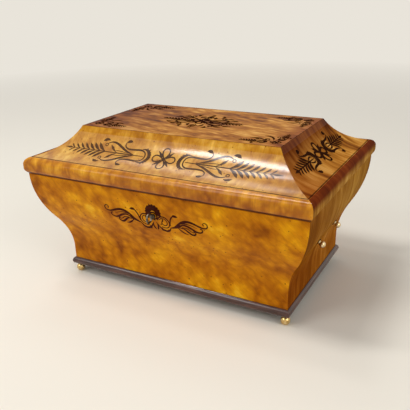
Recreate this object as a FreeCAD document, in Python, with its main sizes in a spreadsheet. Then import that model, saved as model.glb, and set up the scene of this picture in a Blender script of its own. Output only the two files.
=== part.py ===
import FreeCAD, Part
import math
import os
import Sketcher

# A sarcophagus casket in mottled maple: an ogee body on ball feet under a coved, hinged lid.
# +X runs along the front and the front faces -Y. The origin is on the floor, under the middle of
# the whole, key included. The pieces are drawn about the middle of the box and moved there last.
# Every length is in millimetres.

Vector = FreeCAD.Vector
Rotation = FreeCAD.Rotation
doc = FreeCAD.newDocument("casket")

# Driving dimensions

DRIVING = {
    "case_length": 437,          # along the front, over the body's top edge
    "case_width": 294,           # front to back, over the body's top edge
    "joint_height": 173.5,       # floor to the top edge of the body
    "flare": 37.5,               # how far the body draws in from its top edge to its foot
    "turn_height": 97,           # floor to where the ogee turns from convex to concave
    "ogee_end": 45,              # floor to where the ogee runs out into the upright foot
    "panel_wall": 10,            # level thickness of the body's four sides
    "edge_width": 20,            # width of the body's top edge, and of the lid's rim
    "bottom_thickness": 8,
    "plinth_height": 12,
    "plinth_proud": 4.5,         # how far the plinth moulding stands out from the body
    "plinth_flat": 1,            # flat of the moulding above and below its round nose
    "plinth_ledge": 20,          # width of the plinth under the bottom board
    "foot_diameter": 13.5,
    "foot_flat": 0.4,            # height worn flat under each ball
    "foot_neck": 7,              # diameter of the neck between ball and plinth
    "foot_inset": 4,             # from the body's foot to the middle of a front ball
    "foot_inset_back": 12,       # the same for the back balls, which stand further in
    "foot_screw": 3.5,
    "foot_screw_length": 9,
    "knob_diameter": 9,
    "knob_neck": 3.6,
    "knob_collar": 5.4,
    "knob_collar_height": 1,
    "knob_reach": 6.5,           # from the body's side to the middle of a knob's ball
    "knob_spacing": 73,
    "knob_stud": 3,
    "rosette_diameter": 9.5,
    "rosette_thickness": 1,
    "nut_diameter": 7,
    "nut_thickness": 2.4,
    "lid_gap": 0.4,              # shadow line between body and lid
    "rim_height": 24.5,          # body's top edge to the foot of the cove
    "rim_proud": 4.5,            # how far the rim moulding stands out from the body
    "rim_under": 8.5,            # height of the rounded lower edge of the moulding
    "rim_over": 10.5,            # height of its rounded upper edge
    "cove_setback": 4,           # from the body's top edge inwards to the foot of the cove
    "cove_width": 57,
    "cove_height": 40,
    "cove_sag": 7.8,
    "cove_edge": 8,              # thickness of the cove's outer edge, let into the rim
    "cove_inner_sag": 6.5,
    "cove_top_edge": 12,         # width of the edge that carries the top board
    "top_thickness": 8,
    "hinge_spacing": 250,
    "hinge_length": 45,
    "hinge_leaf_width": 16,
    "hinge_leaf": 1.6,
    "hinge_out": 2,              # from the body's back edge to the pin
    "knuckle_diameter": 5,
    "knuckle_gap": 0.2,
    "knuckle_clearance": 0.4,
    "hinge_pin": 2.4,
    "pin_clearance": 0.05,
    "pin_overhang": 0.6,
    "hinge_screw_spacing": 16,
    "screw_head": 4.2,
    "screw_head_height": 1.2,
    "screw_shank": 1.9,
    "screw_length": 10,
    "screw_slot": 0.6,
    "keyhole_drop": 32.5,        # body's top edge to the key's axis
    "lock_height": 44,
    "lock_width": 56,
    "lock_depth": 9,
    "lock_plate": 1.4,
    "lock_plate_width": 70,
    "lock_wall": 1,
    "lock_cap": 1,
    "lock_fit": 0.3,             # play of the lock in its mortise
    "lock_screw_spacing": 63,
    "lock_screw_edge": 8,
    "key_pin": 2.2,
    "key_pin_reach": 13,
    "key_bore": 2.5,
    "key_bore_depth": 13,
    "key_shank": 5,
    "key_end_gap": 0.8,          # lock plate to the end of the key
    "key_out": 0.5,              # body's front edge out to the root of the bow
    "key_hole_play": 0.5,
    "key_collar": 7.2,
    "key_collar_length": 1.6,
    "bow_radius": 5.3,           # of the round ends of the key's oval ring
    "bow_straight": 1,           # between its round ends
    "bow_thickness": 3,
    "bit_radius": 7,
    "bit_thickness": 2.2,
    "bit_length": 5.4,
    "bit_step": 1.6,
    "bolt_throw": 8,
    "bolt_thickness": 2.4,
    "bolt_bar": 6,
    "bolt_rise": 13,             # key's axis to the underside of the bolt's bar
    "bolt_left": 26,             # middle of the lock to the bolt's tail end
    "bolt_right": 16,            # middle of the lock to the bolt's head
    "prong_drop": 8.2,
    "prong_width": 4,
    "notch_left": 9.3,
    "notch_right": 1.3,
    "notch_roof": 5,             # underside of the bar to the roof of the notch
    "stump_diameter": 3,
    "stump_left": 13,            # middle of the lock to the stump on the left
    "stump_right": 10,
    "stump_shoulder": 4.8,
    "bolt_play": 0.15,
    "spring_thickness": 0.6,
    "spring_width": 4,
    "spring_rise": 6,
    "spring_reach": 22,
    "staple_length": 56,
    "staple_width": 12,
    "staple_thickness": 1.5,
    "staple_inset": 7,           # body's front edge to the front edge of the staple plate
    "staple_screw_spacing": 47,
    "lug_left": 17,
    "lug_thickness": 2.5,
    "lug_width": 5.2,
    "lug_cheek": 1,
    "lug_foot": 2.4,             # material of the lug under its eye
    "eye_play": 0.5,
    "slot_play": 1.1,
}


class Size:
    """A dimension: its value now, and the formula that the document keeps for it."""

    def __init__(self, value, text):
        self.value = float(value)
        self.text = text

    def __add__(self, other):
        other = as_size(other)
        return Size(self.value + other.value, f"({self.text} + {other.text})")

    def __sub__(self, other):
        other = as_size(other)
        return Size(self.value - other.value, f"({self.text} - {other.text})")

    def __mul__(self, other):
        other = as_size(other)
        return Size(self.value * other.value, f"({self.text} * {other.text})")

    def __truediv__(self, other):
        other = as_size(other)
        return Size(self.value / other.value, f"({self.text} / {other.text})")

    def __neg__(self):
        return Size(-self.value, f"(0 - {self.text})")

    def __radd__(self, other):
        return as_size(other) + self

    def __rsub__(self, other):
        return as_size(other) - self

    def __rmul__(self, other):
        return as_size(other) * self


def as_size(number):
    if isinstance(number, Size):
        return number
    return Size(number, repr(number))


def root(size):
    return Size(math.sqrt(size.value), f"sqrt({size.text})")


def make_sheet(name):
    return doc.addObject("Spreadsheet::Sheet", name)


sheet = make_sheet("sizes")
for row, (alias, value) in enumerate(DRIVING.items(), start=1):
    sheet.set(f"A{row}", alias)
    sheet.set(f"B{row}", str(value))
    sheet.setAlias(f"B{row}", alias)
doc.recompute()


class Sizes:
    """Hands out the driving dimensions by name."""

    def __getattr__(self, alias):
        return Size(getattr(sheet, alias), f"sizes.{alias}")


s = Sizes()
worked_out = make_sheet("worked_out")
worked_rows = []


def keep(alias, size):
    """Puts a worked-out dimension in the second sheet, and returns it under its name."""
    worked_rows.append(alias)
    row = len(worked_rows)
    worked_out.set(f"A{row}", alias)
    worked_out.set(f"B{row}", "=" + size.text)
    worked_out.setAlias(f"B{row}", alias)
    return Size(size.value, f"worked_out.{alias}")


# Worked-out dimensions

half_length = keep("half_length", s.case_length / 2)
half_width = keep("half_width", s.case_width / 2)
joint = s.joint_height
lid_bottom = keep("lid_bottom", joint + s.lid_gap)
plinth_bottom = keep("plinth_bottom", s.foot_diameter - s.foot_flat)
body_bottom = keep("body_bottom", plinth_bottom + s.plinth_height)
board_bottom = keep("board_bottom", body_bottom - s.bottom_thickness)
cove_foot = keep("cove_foot", joint + s.rim_height)
lid_top = keep("lid_top", cove_foot + s.cove_height)
board_seat = keep("board_seat", lid_top - s.top_thickness)
cove_step = keep("cove_step", cove_foot - s.cove_edge)

ogee_height = keep("ogee_height", joint - s.ogee_end)
ogee_chord = keep("ogee_chord", ogee_height * ogee_height + s.flare * s.flare)
ogee_sine = keep("ogee_sine", 2 * s.flare * ogee_height / ogee_chord)
ogee_cosine = keep("ogee_cosine", (ogee_height * ogee_height - s.flare * s.flare) / ogee_chord)
convex_radius = keep("convex_radius", (joint - s.turn_height) / ogee_sine)
concave_radius = keep("concave_radius", (s.turn_height - s.ogee_end) / ogee_sine)
turn_inset = keep("turn_inset", s.flare * (joint - s.turn_height) / ogee_height)
edge_step = keep("edge_step", s.edge_width - s.panel_wall)
edge_drop = keep("edge_drop", root(edge_step * (2 * convex_radius - edge_step)))
edge_foot = keep("edge_foot", joint - edge_drop)

cove_chord = keep("cove_chord", root(s.cove_width * s.cove_width + s.cove_height * s.cove_height))
cove_radius = keep("cove_radius", (cove_chord * cove_chord / 4 + s.cove_sag * s.cove_sag) / (2 * s.cove_sag))
cove_centre_in = keep("cove_centre_in",
                      s.cove_width / 2 - s.cove_height * (cove_radius - s.cove_sag) / cove_chord)
cove_centre_up = keep("cove_centre_up",
                      s.cove_height / 2 + s.cove_width * (cove_radius - s.cove_sag) / cove_chord)
seat_drop = keep("seat_drop", cove_centre_up - s.cove_height + s.top_thickness)
seat_inset = keep("seat_inset", cove_centre_in + root(cove_radius * cove_radius - seat_drop * seat_drop))
inner_run = keep("inner_run", s.cove_setback + seat_inset + s.cove_top_edge - s.edge_width)
inner_rise = keep("inner_rise", board_seat - cove_step)
inner_radius = keep("inner_radius",
                    ((inner_run * inner_run + inner_rise * inner_rise) / 4
                     + s.cove_inner_sag * s.cove_inner_sag) / (2 * s.cove_inner_sag))

hinge_y = keep("hinge_y", half_width + s.hinge_out)
hinge_z = keep("hinge_z", joint + s.lid_gap / 2)
inner_face = keep("inner_face", half_width - s.edge_width)
bow_root = keep("bow_root", -(half_width + s.key_out))
bow_y = keep("bow_y", bow_root - s.bow_radius - s.bow_thickness / 2 + s.key_collar_length / 2)
key_front = keep("key_front", s.bow_radius + s.bow_thickness / 2 - bow_y)
middle_shift = keep("middle_shift", (key_front - half_width - s.rim_proud) / 2)
key_z = keep("key_z", joint - s.keyhole_drop)
doc.recompute()


# Ways of making a piece

X_AXIS = Rotation(Vector(0, 1, 0), 90)
Y_AXIS = Rotation(Vector(1, 0, 0), -90)
PLANES = {
    "XY": Rotation(),
    "YZ": Rotation(Vector(1, 1, 1), 120),
    "XZ": Rotation(Vector(1, 0, 0), 90),
}


def bind(thing, prop, size):
    thing.setExpression(prop, as_size(size).text)


def bind_place(thing, point, turn):
    """Sets a Placement whose position follows the sheet."""
    place = [as_size(coordinate) for coordinate in point]
    thing.Placement = FreeCAD.Placement(Vector(*[p.value for p in place]), turn)
    for letter, coordinate in zip("xyz", place):
        bind(thing, f"Placement.Base.{letter}", coordinate)


def block(name, low, high):
    """A box between two corners."""
    box = doc.addObject("Part::Box", name)
    for prop, start, end in zip(("Length", "Width", "Height"), low, high):
        bind(box, prop, as_size(end) - start)
    bind_place(box, low, Rotation())
    return box


def rod(name, radius, length, start, turn):
    """A round bar from its starting point along the turned Z axis."""
    bar = doc.addObject("Part::Cylinder", name)
    bind(bar, "Radius", radius)
    bind(bar, "Height", length)
    bind_place(bar, start, turn)
    return bar


def group(name, members):
    """Pieces kept apart under one name."""
    result = doc.addObject("Part::Compound", name)
    result.Links = members
    return result


def cut(name, base, tools):
    result = doc.addObject("Part::Cut", name)
    result.Base = base
    result.Tool = tools[0] if len(tools) == 1 else group(name + "_cutters", tools)
    return result


def fuse(name, shapes):
    result = doc.addObject("Part::MultiFuse", name)
    result.Shapes = shapes
    result.Refine = True
    return result


def common(name, shapes):
    result = doc.addObject("Part::MultiCommon", name)
    result.Shapes = shapes
    return result


def arc_middle(start, end, radius, side):
    """The middle of the short arc between two points, bulging to the left of travel if side is 1."""
    chord = end - start
    half = chord.Length / 2
    left = Vector(-chord.y, chord.x, 0) / chord.Length
    bulge = radius - math.sqrt(max(radius * radius - half * half, 0))
    return (start + end) / 2 + left * (side * bulge)


def fill_sketch(sketch, corners):
    """Draws a closed outline. A corner is x, y and, if an arc leaves it, radius and side."""
    points = [Vector(as_size(c[0]).value, as_size(c[1]).value, 0) for c in corners]
    count = len(corners)
    for i, corner in enumerate(corners):
        start, end = points[i], points[(i + 1) % count]
        if len(corner) == 2:
            sketch.addGeometry(Part.LineSegment(start, end), False)
        else:
            middle = arc_middle(start, end, corner[2].value, corner[3])
            sketch.addGeometry(Part.Arc(start, middle, end), False)
    starts = [1 if (sketch.getPoint(i, 1) - points[i]).Length < 1e-6 else 2 for i in range(count)]
    for i in range(count):
        j = (i + 1) % count
        sketch.addConstraint(Sketcher.Constraint("Coincident", i, 3 - starts[i], j, starts[j]))
    for i, corner in enumerate(corners):
        for kind, axis, place in (("DistanceX", -2, corner[0]), ("DistanceY", -1, corner[1])):
            size = as_size(place)
            if size.text == "0":
                sketch.addConstraint(Sketcher.Constraint("PointOnObject", i, starts[i], axis))
                continue
            index = sketch.addConstraint(Sketcher.Constraint(kind, -1, 1, i, starts[i], size.value))
            bind(sketch, f"Constraints[{index}]", size)
        if len(corner) > 2:
            index = sketch.addConstraint(Sketcher.Constraint("Radius", i, corner[2].value))
            bind(sketch, f"Constraints[{index}]", corner[2])


def outline(name, plane, corners, offset=0):
    """A sketch on one of the three main planes, moved along that plane's normal."""
    sketch = doc.addObject("Sketcher::SketchObject", name)
    place = {"XY": (0, 0, offset), "YZ": (offset, 0, 0), "XZ": (0, offset, 0)}[plane]
    bind_place(sketch, place, PLANES[plane])
    fill_sketch(sketch, corners)
    return sketch


def extrude(name, sketch, length, both_ways=False):
    solid = doc.addObject("Part::Extrusion", name)
    solid.Base = sketch
    solid.DirMode = "Normal"
    solid.Solid = True
    solid.Symmetric = both_ways
    bind(solid, "LengthFwd", length)
    return solid


def turned(name, corners):
    """A turned piece: its outline in the XZ plane goes once round the Z axis."""
    body = doc.addObject("PartDesign::Body", name)
    plane = [feature for feature in body.Origin.OriginFeatures if feature.Role == "XZ_Plane"][0]
    sketch = body.newObject("Sketcher::SketchObject", name + "_outline")
    sketch.AttachmentSupport = [(plane, "")]
    sketch.MapMode = "FlatFace"
    fill_sketch(sketch, corners)
    doc.recompute()
    revolution = body.newObject("PartDesign::Revolution", name + "_turning")
    revolution.Profile = sketch
    revolution.ReferenceAxis = (sketch, ["V_Axis"])
    revolution.Angle = 360
    return body


# The four sides share one way of making: a moulded length, cut to a mitre at each end.
# Each is drawn as a front piece and then turned about Z to its own side.

SIDES = {
    "front": (0, half_length, half_width),
    "right": (90, half_width, half_length),
    "back": (180, half_length, half_width),
    "left": (270, half_width, half_length),
}


def mitred(name, side, corners_at, reach_out, reach_in, height):
    """A moulding on one side. corners_at gives its section for a distance from the middle."""
    angle, along, across = SIDES[side]
    section = outline(name + "_section", "YZ", corners_at(across))
    length = extrude(name + "_length", section, 2 * (along + reach_out), True)
    outer, inner = -(across + reach_out), -(across - reach_in)
    plan = outline(name + "_plan", "XY", [
        (-(along + reach_out), outer),
        (along + reach_out, outer),
        (along - reach_in, inner),
        (-(along - reach_in), inner),
    ])
    ends = extrude(name + "_ends", plan, height)
    piece = common(name, [length, ends])
    piece.Placement = FreeCAD.Placement(Vector(), Rotation(Vector(0, 0, 1), angle))
    return piece


# Screws

SCREW_DIRECTIONS = {
    "down": Rotation(),
    "up": Rotation(Vector(1, 0, 0), 180),
    "front": Rotation(Vector(1, 0, 0), -90),
}


def screw_blank(name, head_point, direction):
    """A countersunk screw without its slot: the head's flat is at head_point."""
    turn = SCREW_DIRECTIONS[direction]
    corners = [
        (0, -s.screw_length),
        (s.screw_shank / 2, -s.screw_length),
        (s.screw_shank / 2, -s.screw_head_height),
        (s.screw_head / 2, 0),
        (0, 0),
    ]
    blank = turned(name, corners)
    bind_place(blank, head_point, turn)
    return blank


def slotted(name, blank, head_point, direction):
    turn = SCREW_DIRECTIONS[direction]
    groove = doc.addObject("Part::Box", name + "_slot")
    bind(groove, "Length", s.screw_head)
    bind(groove, "Width", s.screw_slot)
    bind(groove, "Height", s.screw_head_height)
    shift = turn.multVec(Vector(0, 0, 1))
    across = turn.multVec(Vector(0, 1, 0))
    depth = -s.screw_head_height / 2
    point = [
        as_size(head_point[i]) + depth * float(shift[i]) - s.screw_slot / 2 * float(across[i])
        for i in range(3)
    ]
    point[0] = point[0] - s.screw_head / 2
    bind_place(groove, point, turn)
    return cut(name, blank, [groove])


def screws(name, points, direction):
    """A set of like screws: the blanks make the holes, the slotted ones are the pieces."""
    blanks = []
    pieces = []
    for i, point in enumerate(points, start=1):
        blank = screw_blank(f"{name}_blank_{i}", point, direction)
        blanks.append(blank)
        pieces.append(slotted(f"{name}_{i}", blank, point, direction))
    return blanks, pieces


nodes = {}


def add_node(name, piece):
    """Sets a finished piece in the casket's own frame, under the name of its file."""
    piece.Label = name + "_piece"
    placed = group(name, [piece])
    bind_place(placed, (0, middle_shift, 0), Rotation())
    placed.Label = name
    nodes[name] = placed


# Sections

def body_section(across):
    """The ogee side: round outside, then hollow, then upright to the plinth."""
    foot = across - s.flare
    turn = across - turn_inset
    wall = s.panel_wall
    return [
        (-across, joint, convex_radius, -1),
        (-turn, s.turn_height, concave_radius, 1),
        (-foot, s.ogee_end),
        (-foot, body_bottom),
        (-(foot - wall), body_bottom),
        (-(foot - wall), s.ogee_end, concave_radius, -1),
        (-(turn - wall), s.turn_height, convex_radius, 1),
        (-(across - s.edge_width), edge_foot),
        (-(across - s.edge_width), joint),
    ]


nose_height = keep("nose_height", s.plinth_height / 2)
nose_out = keep("nose_out", s.plinth_proud - s.plinth_flat)
nose_radius = keep("nose_radius", (nose_height * nose_height + nose_out * nose_out) / (2 * nose_out))


def plinth_section(across):
    """A round-nosed moulding glued round and under the bottom board."""
    foot = across - s.flare
    return [
        (-foot, body_bottom),
        (-(foot + s.plinth_flat), body_bottom, nose_radius, -1),
        (-(foot + s.plinth_flat), plinth_bottom),
        (-(foot - s.plinth_ledge), plinth_bottom),
        (-(foot - s.plinth_ledge), board_bottom),
        (-foot, board_bottom),
    ]


under_radius = keep("under_radius",
                    (s.rim_proud * s.rim_proud + s.rim_under * s.rim_under) / (2 * s.rim_proud))
over_run = keep("over_run", s.rim_proud + s.cove_setback)
over_radius = keep("over_radius", (over_run * over_run + s.rim_over * s.rim_over) / (2 * over_run))


def rim_section(across):
    """The lid's rim: a bold round-edged moulding, stepped inside for the cove."""
    out = across + s.rim_proud
    cove = across - s.cove_setback
    inside = across - s.edge_width
    return [
        (-across, lid_bottom, under_radius, 1),
        (-out, lid_bottom + s.rim_under),
        (-out, cove_foot - s.rim_over, over_radius, 1),
        (-cove, cove_foot),
        (-cove, cove_step),
        (-inside, cove_step),
        (-inside, lid_bottom),
    ]


def cove_section(across):
    """The hollow slope from the rim up to the top board."""
    cove = across - s.cove_setback
    seat = cove - seat_inset
    return [
        (-cove, cove_foot, cove_radius, -1),
        (-seat, board_seat),
        (-(seat - s.cove_top_edge), board_seat, inner_radius, 1),
        (-(across - s.edge_width), cove_step),
        (-cove, cove_step),
    ]


def top_section(across):
    """The top board, whose edges carry the cove on to the flat."""
    cove = across - s.cove_setback
    seat = cove - seat_inset
    brow = cove - s.cove_width
    return [
        (-seat, board_seat, cove_radius, -1),
        (-brow, lid_top),
        (brow, lid_top, cove_radius, -1),
        (seat, board_seat),
    ]


# Feet: brass balls, each screwed up through the corner of the plinth into the bottom board

foot_radius = s.foot_diameter / 2
foot_places = {}
for face, inset in (("front", s.foot_inset), ("back", s.foot_inset_back)):
    foot_places[face] = (keep(f"foot_{face}_x", half_length - s.flare - inset),
                         keep(f"foot_{face}_y", half_width - s.flare - inset))
flat_radius = keep("flat_radius", root(s.foot_flat * (s.foot_diameter - s.foot_flat)))
neck_start = keep("neck_start", foot_radius + root(foot_radius * foot_radius - s.foot_neck * s.foot_neck / 4))
foot_holes = []
for end, x_sign in (("left", -1), ("right", 1)):
    for face, y_sign in (("front", -1), ("back", 1)):
        name = f"foot_{face}_{end}"
        x = x_sign * foot_places[face][0]
        y = y_sign * foot_places[face][1]
        foot = turned(name, [
            (0, s.foot_flat),
            (flat_radius, s.foot_flat, foot_radius, -1),
            (s.foot_neck / 2, neck_start),
            (s.foot_neck / 2, s.foot_diameter),
            (s.foot_screw / 2, s.foot_diameter),
            (s.foot_screw / 2, s.foot_diameter + s.foot_screw_length),
            (0, s.foot_diameter + s.foot_screw_length),
        ])
        bind_place(foot, (x, y, -s.foot_flat), Rotation())
        add_node(name, foot)
        foot_holes.append(rod(name + "_hole", s.foot_screw / 2, s.foot_screw_length,
                              (x, y, plinth_bottom), Rotation()))

# Bottom board and plinth

inner_x = keep("inner_x", half_length - s.flare)
inner_y = keep("inner_y", half_width - s.flare)
board = block("bottom_board_blank", (-inner_x, -inner_y, board_bottom), (inner_x, inner_y, body_bottom))
add_node("bottom_board", cut("bottom_board_drilled", board, foot_holes))
for side in SIDES:
    strip = mitred(f"plinth_{side}_blank", side, plinth_section, s.plinth_proud, s.flare + s.plinth_ledge,
                   body_bottom)
    add_node(f"plinth_{side}", cut(f"plinth_{side}_drilled", strip, foot_holes))

# Body sides

panels = {
    side: mitred(f"body_{side}_blank", side, body_section, as_size(0),
                 s.flare + s.panel_wall + s.edge_width, joint)
    for side in SIDES
}

# Knobs on the ends, square to the slope where the ogee turns

slope = math.degrees(math.asin(ogee_sine.value))
stud_through = keep("stud_through", s.panel_wall * ogee_cosine)
knob_radius = s.knob_diameter / 2
knob_neck_end = keep("knob_neck_end", s.knob_reach - root(knob_radius * knob_radius
                                                          - s.knob_neck * s.knob_neck / 4))
collar_top = keep("collar_top", s.rosette_thickness + s.knob_collar_height)
stud_end = keep("stud_end", stud_through + s.nut_thickness)
end_holes = {}
for end, sign in (("left", -1), ("right", 1)):
    rosettes = []
    nuts = []
    cutters = []
    turn = Rotation(Vector(0, 1, 0), sign * (90 + slope))
    out = turn.multVec(Vector(0, 0, 1))
    for face, y in (("front", -s.knob_spacing / 2), ("back", s.knob_spacing / 2)):
        name = f"knob_{end}_{face}"
        seat = (sign * (half_length - turn_inset), y, s.turn_height)
        inside = [as_size(seat[i]) - stud_through * float(out[i]) for i in range(3)]
        nut_end = [as_size(seat[i]) - stud_end * float(out[i]) for i in range(3)]
        knob = turned(name, [
            (0, -stud_end),
            (s.knob_stud / 2, -stud_end),
            (s.knob_stud / 2, s.rosette_thickness),
            (s.knob_collar / 2, s.rosette_thickness),
            (s.knob_collar / 2, collar_top),
            (s.knob_neck / 2, collar_top),
            (s.knob_neck / 2, knob_neck_end, knob_radius, -1),
            (0, s.knob_reach + knob_radius),
        ])
        bind_place(knob, seat, turn)
        add_node(name, knob)
        stud_hole = rod(name + "_stud_hole", s.knob_stud / 2, stud_end, nut_end, turn)
        rosette = rod(name + "_rosette_blank", s.rosette_diameter / 2, s.rosette_thickness, seat, turn)
        rosettes.append(cut(name + "_rosette", rosette, [
            rod(name + "_rosette_hole", s.knob_stud / 2, s.rosette_thickness, seat, turn)]))
        nut = rod(name + "_nut_blank", s.nut_diameter / 2, s.nut_thickness, nut_end, turn)
        nuts.append(cut(name + "_nut", nut, [stud_hole]))
        cutters.append(stud_hole)
        cutters.append(rod(name + "_seat", s.rosette_diameter / 2, s.knob_reach, seat, turn))
        cutters.append(rod(name + "_nut_seat", s.nut_diameter / 2, s.nut_thickness, nut_end, turn))
    add_node(f"knob_rosettes_{end}", group(f"knob_rosettes_{end}_pair", rosettes))
    add_node(f"knob_nuts_{end}", group(f"knob_nuts_{end}_pair", nuts))
    add_node(f"body_{end}", cut(f"body_{end}_drilled", panels[end], cutters))

# Hinges: two brass butts let into the back edge, with their knuckles just behind it

leaf_end = keep("leaf_end", hinge_y - s.knuckle_diameter / 2 - s.knuckle_clearance)
leaf_start = keep("leaf_start", half_width - s.hinge_leaf_width)
leaf_middle = keep("leaf_middle", (leaf_start + leaf_end) / 2)
knuckle_length = keep("knuckle_length", (s.hinge_length - 2 * s.knuckle_gap) / 3)
relief_radius = s.knuckle_diameter / 2 + s.knuckle_clearance
relief_length = s.hinge_length + 2 * (s.pin_overhang + s.knuckle_clearance)


def knuckle(name, x, plate_low, plate_high):
    """One knuckle with the strip of leaf that reaches it."""
    barrel = rod(name + "_barrel", s.knuckle_diameter / 2, knuckle_length, (x, hinge_y, hinge_z), X_AXIS)
    strap = block(name + "_strap", (x, leaf_end, plate_low), (x + knuckle_length, hinge_y, plate_high))
    return [barrel, strap]


body_cutters = []
lid_cutters = []
body_screws = []
lid_screws = []
for end, sign in (("left", -1), ("right", 1)):
    middle = sign * s.hinge_spacing / 2
    start = middle - s.hinge_length / 2
    finish = middle + s.hinge_length / 2
    centre_start = start + knuckle_length + s.knuckle_gap
    last_start = finish - knuckle_length
    tag = f"hinge_{end}"
    body_low, body_high = joint - s.hinge_leaf, joint
    lid_low, lid_high = lid_bottom, lid_bottom + s.hinge_leaf
    screw_x = [middle - s.hinge_screw_spacing, middle, middle + s.hinge_screw_spacing]
    down_points = [(x, leaf_middle, body_high) for x in screw_x]
    up_points = [(x, leaf_middle, lid_low) for x in screw_x]
    down_blanks, down_screws = screws(f"{tag}_body_screw", down_points, "down")
    up_blanks, up_screws = screws(f"{tag}_lid_screw", up_points, "up")

    body_leaf = fuse(f"{tag}_body_blank",
                     [block(f"{tag}_body_plate", (start, leaf_start, body_low), (finish, leaf_end, body_high))]
                     + knuckle(f"{tag}_first", start, body_low, body_high)
                     + knuckle(f"{tag}_last", last_start, body_low, body_high))
    pin_hole = rod(f"{tag}_pin_hole", s.hinge_pin / 2, s.hinge_length, (start, hinge_y, hinge_z), X_AXIS)
    add_node(f"{tag}_body_leaf", cut(f"{tag}_body_bored", body_leaf, [pin_hole] + down_blanks))

    lid_leaf = fuse(f"{tag}_lid_blank",
                    [block(f"{tag}_lid_plate", (start, leaf_start, lid_low), (finish, leaf_end, lid_high))]
                    + knuckle(f"{tag}_centre", centre_start, lid_low, lid_high))
    running_hole = rod(f"{tag}_running_hole", s.hinge_pin / 2 + s.pin_clearance, s.hinge_length,
                       (start, hinge_y, hinge_z), X_AXIS)
    add_node(f"{tag}_lid_leaf", cut(f"{tag}_lid_bored", lid_leaf, [running_hole] + up_blanks))

    pin_start = start - s.pin_overhang
    add_node(f"{tag}_pin", rod(f"{tag}_pin_rod", s.hinge_pin / 2, s.hinge_length + 2 * s.pin_overhang,
                               (pin_start, hinge_y, hinge_z), X_AXIS))

    relief = rod(f"{tag}_relief", relief_radius, relief_length,
                 (pin_start - s.knuckle_clearance, hinge_y, hinge_z), X_AXIS)
    body_recess = block(f"{tag}_body_recess", (start, leaf_start, body_low), (finish, hinge_y, body_high))
    lid_recess = block(f"{tag}_lid_recess", (start, leaf_start, lid_low), (finish, hinge_y, lid_high))
    body_cutters += [body_recess, relief] + down_blanks
    lid_cutters += [lid_recess, relief] + up_blanks
    body_screws += down_screws
    lid_screws += up_screws
add_node("hinge_body_screws", group("hinge_body_screw_set", body_screws))
add_node("hinge_lid_screws", group("hinge_lid_screw_set", lid_screws))
add_node("body_back", cut("body_back_recessed", panels["back"], body_cutters))

# Lock: a box lock in a mortise behind the keyhole, its plate flush with the body's inside

lock_y = -inner_face
plate_y = keep("plate_y", lock_y - s.lock_plate)
case_y = keep("case_y", lock_y - s.lock_depth)
cap_y = keep("cap_y", case_y - s.lock_cap)
lock_bottom = keep("lock_bottom", joint - s.lock_height)
lock_half = s.lock_width / 2
plate_half = s.lock_plate_width / 2
works_y = keep("works_y", (plate_y + case_y) / 2)
bolt_bottom = keep("bolt_bottom", key_z + s.bolt_rise)
bolt_top = keep("bolt_top", bolt_bottom + s.bolt_bar)
bolt_front = works_y - s.bolt_thickness / 2
bolt_back = works_y + s.bolt_thickness / 2

lock_screw_points = [
    (x, lock_y, z)
    for x in (-s.lock_screw_spacing / 2, s.lock_screw_spacing / 2)
    for z in (joint - s.lock_screw_edge, lock_bottom + s.lock_screw_edge)
]
lock_blanks, lock_screw_pieces = screws("lock_screw", lock_screw_points, "front")
add_node("lock_screws", group("lock_screw_set", lock_screw_pieces))

lug_right = s.lug_left + s.lug_thickness
box_shell = block("lock_box", (-lock_half, case_y, lock_bottom), (lock_half, plate_y, joint))
box_room = block("lock_room", (-(lock_half - s.lock_wall), case_y, lock_bottom + s.lock_wall),
                 (lock_half - s.lock_wall, plate_y, joint - s.lock_plate))
stump_z = keep("stump_z", bolt_bottom + s.bolt_bar / 2)
stumps = []
for end, x in (("left", -s.stump_left), ("right", s.stump_right)):
    stumps.append(rod(f"lock_stump_{end}", s.stump_diameter / 2, plate_y - case_y,
                      (x, case_y, stump_z), Y_AXIS))
    shoulder_y = bolt_back + s.bolt_play
    stumps.append(rod(f"lock_shoulder_{end}", s.stump_shoulder / 2, plate_y - shoulder_y,
                      (x, shoulder_y, stump_z), Y_AXIS))
lock_body = fuse("lock_case_blank", [
    cut("lock_tray", box_shell, [box_room]),
    block("lock_plate_blank", (-plate_half, plate_y, lock_bottom), (plate_half, lock_y, joint)),
] + stumps)
key_pin_start = (0, lock_y - s.key_pin_reach, key_z)
key_pin_hole = rod("key_pin_hole", s.key_pin / 2, s.key_pin_reach, key_pin_start, Y_AXIS)
staple_slot = block("staple_slot",
                    (s.lug_left - s.slot_play / 2, case_y, joint - s.lock_plate),
                    (lug_right + s.slot_play / 2, works_y + s.lug_width / 2 + s.slot_play / 2, joint))
add_node("lock_case", cut("lock_case_bored", lock_body, [key_pin_hole, staple_slot] + lock_blanks))
add_node("lock_key_pin", rod("lock_key_pin_rod", s.key_pin / 2, s.key_pin_reach, key_pin_start, Y_AXIS))

shank_hole = s.key_shank / 2 + s.key_hole_play
slot_half = s.bit_thickness / 2 + s.key_hole_play


def keyhole(name, start_y, end_y):
    """A round hole for the shank with a slot below it for the bit."""
    return [
        rod(name + "_round", shank_hole, end_y - start_y, (0, start_y, key_z), Y_AXIS),
        block(name + "_slot", (-slot_half, start_y, key_z - s.bit_radius - s.key_hole_play),
              (slot_half, end_y, key_z)),
    ]


cap_blank = block("lock_cap_blank", (-lock_half, cap_y, lock_bottom), (lock_half, case_y, joint))
add_node("lock_cap", cut("lock_cap_pierced", cap_blank, keyhole("cap_keyhole", cap_y, case_y)))

front_cutters = keyhole("front_keyhole", -half_width, cap_y) + [
    block("lock_mortise", (-(lock_half + s.lock_fit), cap_y, lock_bottom - s.lock_fit),
          (lock_half + s.lock_fit, lock_y, joint)),
    block("lock_plate_recess", (-(plate_half + s.lock_fit), plate_y, lock_bottom - s.lock_fit),
          (plate_half + s.lock_fit, lock_y, joint)),
] + lock_blanks
add_node("body_front", cut("body_front_pierced", panels["front"], front_cutters))

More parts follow.
